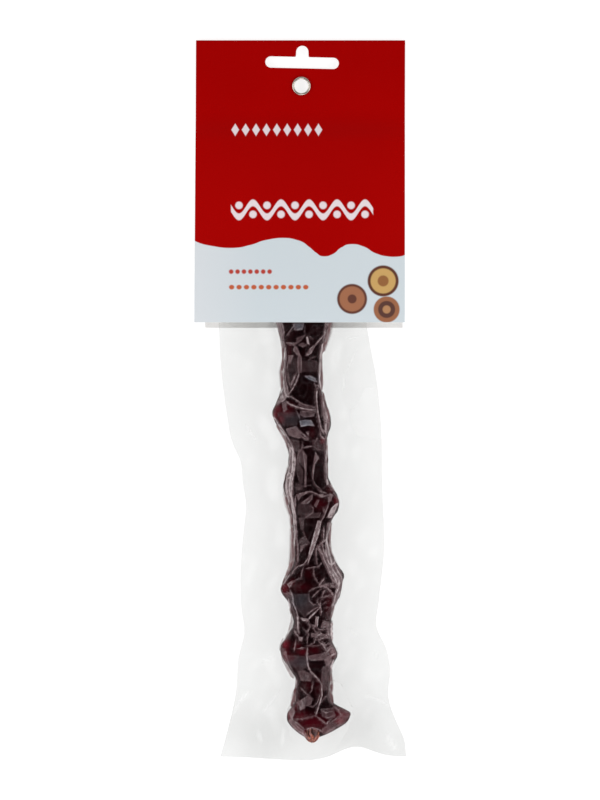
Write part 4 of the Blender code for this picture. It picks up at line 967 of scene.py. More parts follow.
def film_levels(row):
    """Stations of the film's rows: close over the sweet, wide under the card, three to a coarse row."""
    foot = np.linspace(BAG_FOOT, FILM_TIP, FOOT_ROWS, endpoint=False)
    shown = np.arange(FILM_TIP, SHOWN_END, row)
    covered = np.linspace(SHOWN_END, POCKET_CROWN + CROWN_ROOM, COVERED_ROWS)
    spare = -len(shown) % 3
    below_eyelet = EYELET_CENTRE[1] - 2 * PUNCHED_HOLE_RADIUS
    middle = np.linspace(covered[-1], below_eyelet, MIDDLE_ROWS + spare)[1:]
    head = np.linspace(middle[-1], BAG_TOP, HEAD_ROWS)[1:]
    return np.concatenate([foot, shown, covered, middle, head])


def wrap_points(y, columns, side):
    """The ply over the sweet, from its left seam to its right one: rings of the film's radius in the
    middle, spaced halfway between even angles and even steps across, and at each end a web,
    straight across and falling by a power to the seam."""
    even = np.linspace(-1, 1, columns)
    angle = (math.pi / 2 - LIFT_OFF) * even + np.arcsin(even * math.cos(LIFT_OFF))
    angle = side * (math.pi / 2 - angle / 2)[None, :]
    y = y[:, None]
    radius, _ = film_radius(y, angle)
    radius = np.where(radius > SWEET_LEAST_RADIUS, radius + FILM_GAP, 0)
    seam = seam_height(axis_sideways(y), y)
    centre = seam + (AXIS_HEIGHT - seam) * ease(0, CENTRE_EASE, radius.max(axis=1, keepdims=True))
    strip = STRIP_HALF_WIDTH * (radius < STRIP_MOST_RADIUS)
    across = axis_sideways(y) + np.cos(angle) * np.hypot(radius, strip)
    height = centre + radius * np.sin(angle) + side * PLY_GAP * (1 - ease(0, PLY_EASE, radius))
    middle = np.stack([across, y + 0 * angle, height], axis=-1)
    share = np.arange(1, WEB_COLUMNS + 1)[None, :] / WEB_COLUMNS
    webs = []
    for turn, last in ((math.pi, middle[:, :1]), (0.0, middle[:, -1:])):
        reach, hollow = film_radius(y, np.full_like(y, turn))
        reach = np.maximum(reach + FILM_GAP, STRIP_HALF_WIDTH) + SEAM_REACH
        reach = reach + HOLLOW_REACH * ease(0, HOLLOW_EASE, hollow)
        seam_x = axis_sideways(y) + math.cos(turn) * reach
        seam_z = seam_height(seam_x, y) + side * PLY_GAP
        x = last[..., 0] + (seam_x - last[..., 0]) * share
        z = seam_z + (last[..., 2] - seam_z) * (1 - share) ** WEB_FALL
        webs.append(np.stack([x, y + 0 * x, z], axis=-1))
    return np.concatenate([webs[0][:, ::-1], middle, webs[1]], axis=1)


def margin_points(seam, edge, y, side):
    """One margin, from the seam beside the sweet to the bag's edge: on the seam's height, less a
    share of the unsigned value of plane waves of three lengths, which makes folds."""
    share = np.linspace(0, 1, MARGIN_COLUMNS + 1)[None, 1:] ** MARGIN_CROWDING
    x = seam[:, :1] + (edge[:, None] - seam[:, :1]) * share
    y = y[:, None] + 0 * x
    flat = np.stack([x, y], axis=-1)
    folds = sum(size * np.abs(waves(flat, *kind)) for size, *kind in MARGIN_FOLDS)
    depth = ease(0, MARGIN_FOLD_START, np.abs(x - seam[:, :1])) * (1 - ease(*MARGIN_FOLD_END, y))
    height = seam_height(x, y) + side * PLY_GAP - MARGIN_FOLD * folds * depth
    return np.stack([x, y, height], axis=-1)


def drop_to_foot(points, level, beyond):
    """Moves the rows near the bag's foot on to its wavy edge: only the last ones beside the sweet,
    and ever more of them further out."""
    share = 1 - (level - BAG_FOOT) / (BAG_TOP - BAG_FOOT)
    near = 1 - ease(BAG_FOOT, FILM_TIP - FOOT_FOLLOW_ROOM, level)
    far = share**FOOT_FOLLOW_POWER
    follow = near + (far - near) * ease(0, FOOT_FOLLOW_START, beyond)
    points[..., 1] += (bag_foot(points[..., 0]) - BAG_FOOT) * follow
    return points


def along_path(u, v, places):
    """For each point, from a path of straight pieces: the distance with a sign for its side, how far
    along the nearest place lies, half the path's width there, and the path's whole length."""
    away, station, half = np.full(u.shape, np.inf), np.zeros(u.shape), np.ones(u.shape)
    start = 0.0
    for here, there in zip(places, places[1:]):
        du, dv = there[0] - here[0], there[1] - here[1]
        length = math.hypot(du, dv)
        share = np.clip(((u - here[0]) * du + (v - here[1]) * dv) / length**2, 0, 1)
        off_u, off_v = u - here[0] - share * du, v - here[1] - share * dv
        signed = np.where(du * off_v - dv * off_u < 0, -1, 1) * np.hypot(off_u, off_v)
        closer = np.abs(signed) < np.abs(away)
        away = np.where(closer, signed, away)
        station = np.where(closer, start + share * length, station)
        half = np.where(closer, here[-1] + share * (there[-1] - here[-1]), half)
        start += length
    return away, station, half, start


def inside_corners(u, v, corners):
    """How deep each point lies inside a shape of straight sides: its distance from the nearest side,
    less than 0 outside, where a level line from the point crosses the sides an even number of times."""
    inside, away = np.zeros(u.shape, bool), np.full(u.shape, np.inf)
    for here, there in zip(corners, corners[1:] + corners[:1]):
        du, dv = there[0] - here[0], there[1] - here[1]
        share = np.clip(((u - here[0]) * du + (v - here[1]) * dv) / (du**2 + dv**2), 0, 1)
        away = np.minimum(away, np.hypot(u - here[0] - share * du, v - here[1] - share * dv))
        if dv:
            inside ^= ((here[1] > v) != (there[1] > v)) & (u < du * (v - here[1]) / dv + here[0])
    return np.where(inside, away, -away)


def rows_near(v, places):
    """The span of rows that a mark can reach."""
    downs = [place[1] for place in places]
    low, high = min(downs) - MARK_ROOM, max(downs) + MARK_ROOM
    rows = np.flatnonzero((v.min(axis=1) < high) & (v.max(axis=1) > low))
    return slice(rows[0], rows[-1] + 1) if len(rows) else slice(0, 0)


def draw_creases(u, v, pale, lift, streaks):
    """Each fold is a ridge: a bell curve of the distance from its path, narrower towards its ends,
    painted pale as a highlight along its crest. Its tone beside the sweet is lighter than any band's."""
    for share, half, *places in CREASE_HIGHLIGHTS:
        rows = rows_near(v, places)
        away, station, _, length = along_path(u[rows], v[rows], places)
        from_end = np.minimum(station, length - station)
        taper = FOLD_END + (1 - FOLD_END) * ease(0, FOLD_END_REACH, from_end)
        waver = 1 + FOLD_WAVER * np.sin(station * FOLD_WAVER_PACE + places[0][0])
        wide = FOLD_WIDTH * half * taper * waver
        ridge = np.exp(-((away / wide) ** 2)) * (FOLD_END_PALE + (1 - FOLD_END_PALE) * taper)
        twin = TWIN_SHARE * np.exp(-(((away - TWIN_OFF * wide) / (TWIN_WIDTH * wide)) ** 2)) * taper
        high = (FOLD_LIFT + share) * np.exp(-((away / (FOLD_LIFT_WIDTH * wide)) ** 2))
        pale[rows] = np.maximum(pale[rows], share * np.maximum(ridge, twin))
        lift[rows] = np.maximum(lift[rows], high)
        streaks[rows] = np.maximum(streaks[rows], FOLD_STREAK * ridge)


def draw_panes(u, v, pale, lift):
    """Each pane is level inside its corners and painted pale as a reflection, with a paler rim, a
    painted highlight, where the film turns down to the coat.
    """
    for share, *corners in PANE_REFLECTIONS:
        rows = rows_near(v, corners)
        depth = inside_corners(u[rows], v[rows], corners)
        rim = min(PANE_RIM_HIGHLIGHT[0], PANE_RIM_HIGHLIGHT[1] * share)
        rim = rim * np.exp(-(((depth - PANE_RIM_DEPTH) / PANE_RIM_WIDTH) ** 2))
        pale[rows] = np.maximum(pale[rows], share * ease(*PANE_EDGE, depth) + rim)
        lift[rows] = np.maximum(lift[rows], (PANE_LIFT + share) * ease(*PANE_LIFT_EDGE, depth))


def draw_bundles(u, v, outside, pale, lift, streaks):
    """Each band is full inside its width and streaked along its length by a wandering sine of the
    distance across it. Over the dark sweet the streaks are more and less haze. Beside it the haze
    is full from the sweet to the band's middle, then fades, and the streaks are kept for its tone."""
    for share, light, *places in BUNDLES:
        rows = rows_near(v, places)
        away, station, half, _ = along_path(u[rows], v[rows], places)
        inside = ease(*BAND_EDGE, np.abs(away) / half)
        wander = WANDER_SIZES[0] * np.sin(station / WANDER_LENGTHS[0] + places[0][1])
        wander = wander + WANDER_SIZES[1] * np.sin(station / WANDER_LENGTHS[1])
        streak = 0.5 + 0.5 * np.sin(away * STREAK_PACE + wander)
        fine = 0.5 + 0.5 * np.sin(away * FINE_STREAK_PACE - FINE_STREAK_WANDER * wander)
        even, streaked, finely = STREAK_SHARES
        over = share * inside * (even + streaked * streak + finely * fine)
        outward = -away / half * (1 if places[0][0] > SWEET_MIDDLE else -1)
        near = ease(*BAND_NEAR, np.abs(away) - half) * (outside[rows] > 0)
        full = np.where(outward < 0, near, ease(*BAND_OUTER, outward))
        inside = inside + (full - inside) * outside[rows]
        beside = full * np.minimum(BESIDE_MOST, BESIDE_SHARE * share)
        pale[rows] = np.maximum(pale[rows], over + (beside - over) * outside[rows])
        lift[rows] = np.maximum(lift[rows], inside * (BAND_LIFT[0] + BAND_LIFT[1] * streak))
        tone = BAND_TONE * light * ease(*BAND_TONE_RANGE, streak)
        tone = tone * (1 - BAND_TONE_FINE + BAND_TONE_FINE * fine)
        tone = tone * (1 - BAND_TONE_ALONG + BAND_TONE_ALONG * np.sin(station / BAND_TONE_LENGTH))
        streaks[rows] = np.maximum(streaks[rows], inside * tone)


def crumple(across, y, size, width, seed):
    """A net of folds between seeded cells, drawn out along the rod: near 1 where a point's two
    nearest cells are equally far away, and each cell's own random share."""
    chance = np.random.default_rng(seed)
    half_width, foot, top = NET_FIELD
    along = np.arange(foot, top, NET_STRETCH * size)
    columns, rows = np.meshgrid(np.arange(-half_width, half_width, size), along)
    wide, high = NET_UNEVEN
    seeds_across = (columns + chance.uniform(-wide, wide, columns.shape) * size).ravel()
    seeds_along = (rows + chance.uniform(-high, high, rows.shape) * size).ravel()
    shares = chance.uniform(0, 1, len(seeds_along))
    flat_across, flat_y = across.ravel().astype(np.float32), y.ravel().astype(np.float32)
    nearest, second = np.full((2, flat_y.size), np.inf, np.float32)
    own = np.zeros(flat_y.shape)
    seeds = zip(seeds_across.astype(np.float32), seeds_along.astype(np.float32), shares)
    for place_across, place_y, share in seeds:
        away = np.hypot(flat_across - place_across, (flat_y - place_y) / NET_STRETCH)
        closer = away < nearest
        second = np.where(closer, nearest, np.minimum(second, away))
        own = np.where(closer, share, own)
        nearest = np.where(closer, away, nearest)
    ridge = np.exp(-(((second - nearest) / width) ** 2))
    return ridge.reshape(y.shape), own.reshape(y.shape)


def film_marks(points, side, outside):
    """How pale the drawn-on film is, how far its folds stand off, and the tone of its haze: the
    drawn marks on the shown front, and a crumpled net elsewhere. Over the dark sweet the haze is painted
    highlight and reflection, warmer where it is thin and a painted bluish reflection in some places;
    beside it the haze is streaked with dark red, the painted shade and sheen of upright folds."""
    u, v = as_pictured(points)
    y = points[..., 1]
    off = points[..., 0] - axis_sideways(y)
    around = NET_RADIUS * np.arctan2(off, np.abs(points[..., 2] - AXIS_HEIGHT) + NET_ROUND_OFF)
    cells = zip((NET_CELL, FINE_CELL), NET_WIDTHS[side], NET_SEEDS[side])
    (net, own), (fine, fine_own) = [crumple(around, y, *kind) for kind in cells]
    loose = ease(*LOOSE_CELLS, own)
    net_sheen_marks = (loose, net * ease(*BROKEN_NET, own), fine * ease(*BROKEN_FINE, fine_own))
    pale, lift = (
        sum(share * mark for share, mark in zip(shares, marks)) * (1 - outside)
        for shares, marks in ((NET_SHEEN, net_sheen_marks), (NET_LIFT, (loose, net, fine * loose)))
    )
    streaks = np.zeros(u.shape)
    if side > 0:
        drawn, raised = np.zeros(u.shape), np.zeros(u.shape)
        draw_panes(u, v, drawn, raised)
        draw_bundles(u, v, outside, drawn, raised, streaks)
        draw_creases(u, v, drawn, raised, streaks)
        mottle = waves(np.stack([u, v], axis=-1), MOTTLING_LENGTH, count=10, seed=25)
        drawn = drawn * (MARK_GROWTH[0] + MARK_GROWTH[1] * drawn) * (1 + MOTTLING * mottle)
        drawn += FINE_ON_MARKS * drawn * (1 - drawn) * fine * fine_own
        faint = FAINT_NET * net * ease(*FAINT_NET_CELLS, own)
        faint = faint + FAINT_FINE * fine * ease(*FAINT_FINE_CELLS, fine_own)
        drawn = np.maximum(drawn, faint * (1 - outside))
        raised = np.maximum(raised, SHOWN_NET_LIFT * net * (1 - outside))
        covered = ease(*COVER_RANGE, y)
        pale, lift = drawn + (pale - drawn) * covered, raised + (lift - raised) * covered
    blue_reflection = sum(
        np.exp(-(((u - across) / wide) ** 2) - ((v - down) / high) ** 2)
        for across, down, wide, high in BLUE_REFLECTION_PLACES
    )
    over = mix_tones(WARM_THIN, WARM_FULL, ease(*WARM_RANGE, pale))
    over = mix_tones(over, REFLECTED_BLUE, np.clip(blue_reflection, 0, 1) * (side > 0))
    margin_haze, margin_tone = margin_look(y)
    beside = mix_tones(margin_tone, mix_tones(FOLD_SHADE, FOLD_SHINE, streaks), ease(*BESIDE_RANGE, pale))
    tone = mix_tones(over, beside, np.clip(BESIDE_SHARPNESS * outside, 0, 1))
    return np.maximum(pale, margin_haze * outside), lift, tone


def margin_look(y):
    """The haze of the free film and its tone: denser and greyer towards the bag's foot."""
    low = ease(*FOOT_RANGE, y)
    return MARGIN_HAZE + FOOT_HAZE * low, mix_tones(MARGIN_TONE, FOOT_TONE, low)


def mix_tones(first, second, share):
    """Colours between two, by a share from 0 to 1 at each point."""
    return np.asarray(first) + (np.asarray(second) - first) * share[..., None]


def beyond_sweet(points):
    """How far each point of the wrap lies outside the sweet's outline, or inside it if negative."""
    y = points[:, :1, 1]
    right = axis_sideways(y) + sweet_radius(y, 0.0 * y)
    left = axis_sideways(y) - sweet_radius(y, 0.0 * y + math.pi)
    return np.maximum(points[..., 0] - right, left - points[..., 0])


def margin_marks(points, side):
    """The margins' faint haze and its tone, with painted highlights as strokes and one pane drawn in on
    the shown ply, and the folds of the sweet's side bands where they run out into the margin."""
    u, v = as_pictured(points)
    haze, tone = margin_look(points[..., 1])
    pale = haze * (1 + MARGIN_CLOUDS * waves(points[..., :2], MARGIN_CLOUD_LENGTH, count=8, seed=31))
    pale = pale + COVERED_HAZE * ease(*COVERED_RANGE, points[..., 1])
    bands, streaks, highlight_strokes = np.zeros(u.shape), np.zeros(u.shape), np.zeros(u.shape)
    if side > 0:
        for share, half, *places in MARGIN_HIGHLIGHTS:
            away, station, _, length = along_path(u, v, places)
            from_end = ease(0, STROKE_END_REACH, np.minimum(station, length - station))
            taper = STROKE_END + (1 - STROKE_END) * from_end
            highlight_strokes = np.maximum(highlight_strokes, share * np.exp(-((away / (half * taper)) ** 2)))
        share, *corners = MARGIN_SHEEN_PANE
        pane = share * ease(-PANE_SOFTNESS, PANE_SOFTNESS, inside_corners(u, v, corners))
        highlight_strokes = np.maximum(highlight_strokes, pane)
        draw_bundles(u, v, np.ones(u.shape), bands, np.zeros(u.shape), streaks)
    tone = mix_tones(tone, HIGHLIGHT_TONE, ease(*STROKE_RANGE, highlight_strokes))
    beside = mix_tones(tone, mix_tones(FOLD_SHADE, FOLD_SHINE, streaks), ease(*BESIDE_RANGE, bands))
    return np.maximum(np.maximum(pale, highlight_strokes), bands), beside


def open_hole(points, faces):
    """Opens the punched hole: points within twice its radius move out to its radius plus half their
    distance from its middle, and the faces over its middle go."""
    off = points[:, :2] - EYELET_CENTRE
    away = np.hypot(off[:, 0], off[:, 1])
    near = away < 2 * PUNCHED_HOLE_RADIUS
    grow = (PUNCHED_HOLE_RADIUS + away[near] / 2) / np.maximum(away[near], 0.01 * MM)
    faces = [face for face in faces if math.hypot(*off[face].mean(axis=0)) > HOLE_START]
    points[near, :2] = EYELET_CENTRE + off[near] * grow[:, None]
    return points, faces


def sheet_faces(index):
    """Quads of an open grid of point numbers, facing up where columns run right and rows up."""
    corners = [index[:-1, :-1], index[:-1, 1:], index[1:, 1:], index[1:, :-1]]
    return np.stack(corners, axis=-1).reshape(-1, 4)


def join_faces(fine, coarse, coarse_is_left):
    """Triangles between a column of fine rows and one that has every third of them."""
    f0, f1, f2, f3 = fine[:-1:3], fine[1::3], fine[2::3], fine[3::3]
    c0, c1 = coarse[:-1], coarse[1:]
    if coarse_is_left:
        corners = [(c0, f0, f1), (c0, f1, f2), (c0, f2, c1), (c1, f2, f3)]
    else:
        corners = [(f0, c0, f1), (f1, c0, f2), (f2, c0, c1), (f2, c1, f3)]
    return np.concatenate([np.stack(corner, axis=-1) for corner in corners])


def add_ply(name, row, columns, side, material):
    """One ply of the bag as an open sheet: fine rows over the sweet, and coarser ones in the margins."""
    level = film_levels(row)
    wrap = wrap_points(level, columns, side)
    beyond = beyond_sweet(wrap)
    outside = ease(*OUTLINE_RANGE, beyond)
    steep = np.exp(-(((beyond + STEEP_PLACE) / STEEP_WIDTH) ** 2))  # faces the side lights there
    pale, lift, tone = film_marks(wrap, side, outside)
    tone = tone * (1 - EDGE_SHADE * steep)[..., None]
    # A band of painted sheen just inside the sweet's outline, where the film turns down its sides.
    uneven = EDGE_UNEVENNESS * waves(wrap[..., :2], EDGE_LENGTH_ALONG, count=8, seed=26)
    edge = EDGE_SHEEN * (1 - EDGE_UNEVENNESS + uneven)
    pale = np.maximum(pale, edge * np.exp(-(((beyond + EDGE_PLACE) / EDGE_WIDTH) ** 2)))
    along = wrap[..., 1]
    out = wrap - np.stack([axis_sideways(along), along, 0 * along + AXIS_HEIGHT], axis=-1)
    out = out / (np.linalg.norm(out, axis=-1, keepdims=True) + 1e-9)
    column = np.arange(wrap.shape[1])
    free = ease(0, WEB_COLUMNS, np.minimum(column, column[::-1])[None, :])
    free = free * ease(FILM_TIP, FILM_TIP + FOLD_FREE_TIP, level[:, None])
    free = free * (1 - ease(POCKET_CROWN - FOLD_FREE_CROWN, POCKET_CROWN, level[:, None]))
    wrap = wrap + out * (FOLD_HEIGHT * lift * free)[..., None]
    parts, hazes, tones = [wrap], [pale], [tone]
    numbers, beyonds = [np.arange(pale.size).reshape(pale.shape)], [0 * pale]
    for stations, edges, seam in (
        (LEFT_EDGE_STATIONS, LEFT_EDGE, wrap[::3, 0, :1]),
        (RIGHT_EDGE_STATIONS, RIGHT_EDGE, wrap[::3, -1, :1]),
    ):
        margin = margin_points(seam, curve_through(stations, edges, level[::3]), level[::3], side)
        margin_haze, margin_tone = margin_marks(margin, side)
        first = sum(haze.size for haze in hazes)
        parts.append(margin)
        hazes.append(margin_haze)
        tones.append(margin_tone)
        numbers.append(first + np.arange(margin_haze.size).reshape(margin_haze.shape))
        beyonds.append(np.abs(margin[..., 0] - seam))
    levels = (level[:, None], level[::3, None], level[::3, None])
    parts = [drop_to_foot(part, at, far) for part, at, far in zip(parts, levels, beyonds)]
    over, left, right = numbers
    quads = np.concatenate([sheet_faces(over), sheet_faces(left[:, ::-1]), sheet_faces(right)])
    sides = (join_faces(over[:, 0], left[:, 0], True), join_faces(over[:, -1], right[:, 0], False))
    joins = np.concatenate(sides)
    if side < 0:
        quads, joins = quads[:, ::-1], joins[:, ::-1]
    points = np.concatenate([part.reshape(-1, 3) for part in parts])
    haze = np.clip(np.concatenate([haze.ravel() for haze in hazes]), 0, 1)
    least, rate, most = SWEET_GLOSS
    on_sweet = least + np.clip(rate * pale, 0, most) * (1 - ease(*GLOSS_RANGE, beyond))
    gloss = np.concatenate([on_sweet.ravel(), np.full(len(points) - pale.size, MARGIN_GLOSS)])
    tones = np.concatenate([tone.reshape(-1, 3) for tone in tones])
    points, faces = open_hole(points, quads.tolist() + joins.tolist())
    looks = {"haze": haze, "gloss": gloss, "tone": np.column_stack([tones, np.ones(len(tones))])}
    add_piece(name, points, faces, material, "film_bag", looks)


# The film: clear, mixed by the haze attribute with a matte surface of the tone attribute. In the margins
# that is the film's own milkiness; over and beside the sweet it is painted highlight, reflection and
# shade.
film, film_output = new_material("clear_film")
pale_tone = add_node(film, "ShaderNodeAttribute", attribute_name="tone").outputs["Color"]
sheen_and_haze_film = surface(film, None, Base_Color=pale_tone, Roughness=0.5, Specular_IOR_Level=0.02)
clear_film = add_node(film, "ShaderNodeBsdfTransparent", CLEAR_TINT).outputs[0]
cling = add_node(film, "ShaderNodeMixShader", own_attribute(film, "haze"), clear_film, sheen_and_haze_film)
turned_away = add_node(film, "ShaderNodeLayerWeight", 0.5).outputs["Facing"]
sheen = figure(film, "MULTIPLY_ADD", figure(film, "POWER", turned_away, 5.0), 1 - FILM_SHEEN, FILM_SHEEN)
sheen = figure(film, "MULTIPLY", sheen, own_attribute(film, "gloss"))
shine = add_node(film, "ShaderNodeBsdfAnisotropic", (1, 1, 1, 1), FILM_ROUGHNESS)
film_shader = add_node(film, "ShaderNodeMixShader", sheen, cling.outputs[0], shine.outputs[0])
film.node_tree.links.new(film_shader.outputs[0], film_output.inputs[0])

add_ply("film_back", BACK_ROW, BACK_COLUMNS, -1, film)
add_ply("film_front", FRONT_ROW, FRONT_COLUMNS, 1, film)

# The header card: one strip of white board, printed outside and folded over the bag's top, with a
# slot for a shop's peg punched through both leaves. The print is red above a wavy edge and pale
# grey below it, with plain motifs.
CARD_THICKNESS = 0.45 * MM
CARD_TOP = 155.5 * MM
CARD_WIDTH_AT_FOLD = 90.4 * MM
CARD_CENTRE_AT_FOLD = 0.45 * MM
FRONT_FOOT = 33.4 * MM
FRONT_FOOT_WIDTH = 90.5 * MM
FRONT_FOOT_CENTRE = 0.0 * MM
BACK_FOOT = 31.2 * MM
BACK_FOOT_WIDTH = 85.4 * MM
BACK_FOOT_CENTRE = 1.9 * MM
BACK_LIFT_START = 98.0 * MM
BACK_LIFT_END = 122.0 * MM
FRONT_LIFT_START = 127.0 * MM
FRONT_FOOT_HEIGHT = 25.0 * MM
FRONT_LIFT_POWER = 1.25
FRONT_LIFT_EASE = 0.16
FRONT_BOW = 6.0 * MM
CARD_COLUMNS = 61
CARD_ROWS = 84
FOLD_ROWS = 15
SLOT_CENTRE = (1.1 * MM, 145.8 * MM)
SLOT_LENGTH = 31.8 * MM
SLOT_HEIGHT = 4.9 * MM
SLOT_BUMP_WIDTH = 5.3 * MM
SLOT_BUMP_TOP = 7.3 * MM
SLOT_TILT = math.radians(-1.3)
SLOT_ARC_STEPS = 33
SLOT_BUMP_CORNER = ((0.6 * MM, 0), (0.12 * MM, 0.15 * MM))  # off the corner of the bump and the slot
CUT_DEPTH = 8.0 * MM
CARD_SHARP_ANGLE = math.radians(40)

# The print, in places across and down the picture. Its wavy edge comes first
PICTURE_HEIGHT = 800.0
WAVY_EDGE = (
    (194, 240.6), (213, 246.3), (232, 248.1), (250, 245.2), (267, 240), (284, 238.1), (297, 240.2),
    (309, 247), (317, 253.5), (324, 256.5), (331, 255), (342, 247.3), (352, 244.3), (362, 246.2),
    (376, 253.6), (388, 256.6), (396, 256.9), (405, 254.7),
)
EDGE_TOP, EDGE_SPAN = 230.0, 30.0
EDGE_LEFT, EDGE_LENGTH = 190.0, 220.0
EDGE_SOFTNESS = 0.35
RED_TOP = (0.32, 0.0004, 0.0004, 1)
RED_BELOW = (0.375, 0.0008, 0.0006, 1)
RED_PASSES = (60.0, 200.0)  # where down the card one red passes into the other
GREY_LEFT = (0.68, 0.71, 0.74, 1)
GREY_RIGHT = (0.62, 0.68, 0.715, 1)
GREY_PASSES = (195.0, 260.0)

# The white wave with a bead in each hollow: where a crest's rise starts, half its length, its reach,
# its level, from full to no ink off its middle line, its field, and the first bead of each row
WHITE = (0.80, 0.70, 0.73, 1)
WAVE_START, WAVE_HALF_LENGTH = 232.0, 14
WAVE_REACH, WAVE_LEVEL = 7.0, 210.0
WAVE_LINE = (2.7, 4.0)
WAVE_FIELD = (231.0, 373.0, 190.0, 230.0)
BEAD_ROWS = ((225.0, 205.5), (239.0, 214.5))
BEAD_STEP, BEAD_RADIUS = 28.0, 3.7

# The row of lozenges above it: where it starts, its step and level, how much wider than high, from
# full to no ink, and its field
LOZENGE_START, LOZENGE_STEP, LOZENGE_LEVEL = 230.0, 10.4, 130.0
LOZENGE_SLANT = 0.62
LOZENGE_LINE = (3.4, 4.3)
LOZENGE_FIELD = (230.0, 323.6, 122.0, 138.0)

# Two broken lines in red and orange: each one's field, the step of its dots, and its ink
BROKEN_LINES = (
    ((228.0, 272.5, 268.5, 275.0), 6.4, (0.46, 0.055, 0.04, 1)),
    ((228.0, 309.5, 284.0, 290.5), 7.4, (0.52, 0.115, 0.05, 1)),
)
DOT_WIDTH, DOT_HALF_HEIGHT = 0.36, 2.3

# Plain round sweets in the lower corner: the middle of each, and the radius and ink of its rings
ROUND_SWEETS = (
    ((352.0, 299.0), (15.0, (0.13, 0.05, 0.036, 1)), (12.5, (0.36, 0.15, 0.08, 1)),
     (4.5, (0.13, 0.05, 0.036, 1))),
    ((383.0, 281.0), (15.5, (0.12, 0.045, 0.03, 1)), (12.5, (0.58, 0.36, 0.13, 1)),
     (5.5, (0.30, 0.13, 0.05, 1))),
    ((386.5, 309.5), (13.0, (0.33, 0.135, 0.07, 1)), (8.5, (0.11, 0.05, 0.04, 1)),
     (4.0, (0.45, 0.23, 0.11, 1))),
)
BOARD_DULL = (0.80, 0.785, 0.77, 1)
BOARD_WHITE = (0.86, 0.85, 0.84, 1)


def front_leaf_height(y):
    """Middle of the front leaf: flat at the eyelet, then rising towards its foot by a power of the
    share of the way, eased in at its start."""
    share = np.clip((FRONT_LIFT_START - y) / (FRONT_LIFT_START - FRONT_FOOT), 0, 1)
    gentle = share * ease(0.0, FRONT_LIFT_EASE, share)
    return STACK_FRONT + (FRONT_FOOT_HEIGHT - STACK_FRONT) * (1 - (1 - gentle) ** FRONT_LIFT_POWER)


def back_leaf_height(y):
    """Middle of the back leaf: flat on the table, and eased up to the eyelet's stack."""
    flat = CARD_THICKNESS / 2
    return flat + (STACK_BACK - flat) * ease(BACK_LIFT_START, BACK_LIFT_END, y)


def card_leaf(y, z, foot, foot_width, foot_centre):
    """Rows of one leaf: the width and middle go evenly from the fold's to the foot's, and a leaf
    that rises bows down towards its sides by the square of the distance from its middle."""
    down = (CARD_TOP - y) / (CARD_TOP - foot)
    width = CARD_WIDTH_AT_FOLD + (foot_width - CARD_WIDTH_AT_FOLD) * down
    centre = CARD_CENTRE_AT_FOLD + (foot_centre - CARD_CENTRE_AT_FOLD) * down
    share = np.linspace(-0.5, 0.5, CARD_COLUMNS)[None, :]
    bow = FRONT_BOW * np.maximum(0, z - STACK_FRONT) / (FRONT_FOOT_HEIGHT - STACK_FRONT)
    x = centre[:, None] + width[:, None] * share
    return np.stack([x, y[:, None] + 0 * x, z[:, None] - bow[:, None] * (2 * share) ** 2], axis=-1)


def card_points():
    """The card's middle surface from the front leaf's foot over the fold to the back leaf's foot."""
    fold_radius = (STACK_FRONT - STACK_BACK) / 2
    fold_start = CARD_TOP - fold_radius - CARD_THICKNESS / 2
    turns = np.radians(np.linspace(90, -90, FOLD_ROWS + 2))[1:-1]
    front_y = np.linspace(FRONT_FOOT, fold_start, CARD_ROWS)
    back_y = np.linspace(fold_start, BACK_FOOT, CARD_ROWS)
    fold_y = fold_start + fold_radius * np.cos(turns)
    fold_z = np.minimum(STACK_BACK + fold_radius * (1 + np.sin(turns)), STACK_FRONT)
    front_foot = (FRONT_FOOT, FRONT_FOOT_WIDTH, FRONT_FOOT_CENTRE)
    back_foot = (BACK_FOOT, BACK_FOOT_WIDTH, BACK_FOOT_CENTRE)
    front = card_leaf(front_y, front_leaf_height(front_y), *front_foot)
    fold = card_leaf(fold_y, fold_z, FRONT_FOOT, CARD_WIDTH_AT_FOLD, CARD_CENTRE_AT_FOLD)
    back = card_leaf(back_y, back_leaf_height(back_y), *back_foot)
    return np.concatenate([front, fold, back])


def arc(middle, radius, start, end, steps):
    """Points of an arc, by the cosine and sine of angles evenly spaced, in degrees."""
    turn = np.radians(np.linspace(start, end, steps))
    return np.stack([middle[0] + radius * np.cos(turn), middle[1] + radius * np.sin(turn)], axis=-1)


def slot_outline():
    """A long hole with round ends and a round bump over its middle, turned by its tilt."""
    end = SLOT_HEIGHT / 2
    reach = SLOT_LENGTH / 2 - end
    bump = SLOT_BUMP_WIDTH / 2
    corner = [(bump + across, end + up) for across, up in SLOT_BUMP_CORNER]
    outline = np.concatenate([
        arc((reach, 0), end, -90, 90, SLOT_ARC_STEPS),
        corner,
        arc((0, SLOT_BUMP_TOP - bump), bump, 0, 180, SLOT_ARC_STEPS),
        [(-x, y) for x, y in corner[::-1]],
        arc((-reach, 0), end, 90, 270, SLOT_ARC_STEPS),
    ])
    cosine, sine = math.cos(SLOT_TILT), math.sin(SLOT_TILT)
    return outline @ np.array([[cosine, sine], [-sine, cosine]]) + SLOT_CENTRE


def punch(piece, outline):
    """Cuts an outline through a piece; the cut's walls take its second material."""
    count = len(outline)
    ends = [np.column_stack([outline, np.full(count, z)]) for z in (-CUT_DEPTH, CUT_DEPTH)]
    ring = np.arange(count)
    onward = np.roll(ring, -1)
    walls = np.stack([ring, onward, onward + count, ring + count], axis=-1).tolist()
    mesh = bpy.data.meshes.new("punch")
    mesh.from_pydata(np.concatenate(ends), [], [ring[::-1].tolist(), (ring + count).tolist(), *walls])
    for material in piece.data.materials:
        mesh.materials.append(material)
    mesh.polygons.foreach_set("material_index", [1] * len(mesh.polygons))
    tool = bpy.data.objects.new("punch", mesh)
    bpy.context.scene.collection.objects.link(tool)
    cut = piece.modifiers.new("punched", "BOOLEAN")
    cut.operation, cut.solver, cut.object = "DIFFERENCE", "EXACT", tool
    return tool


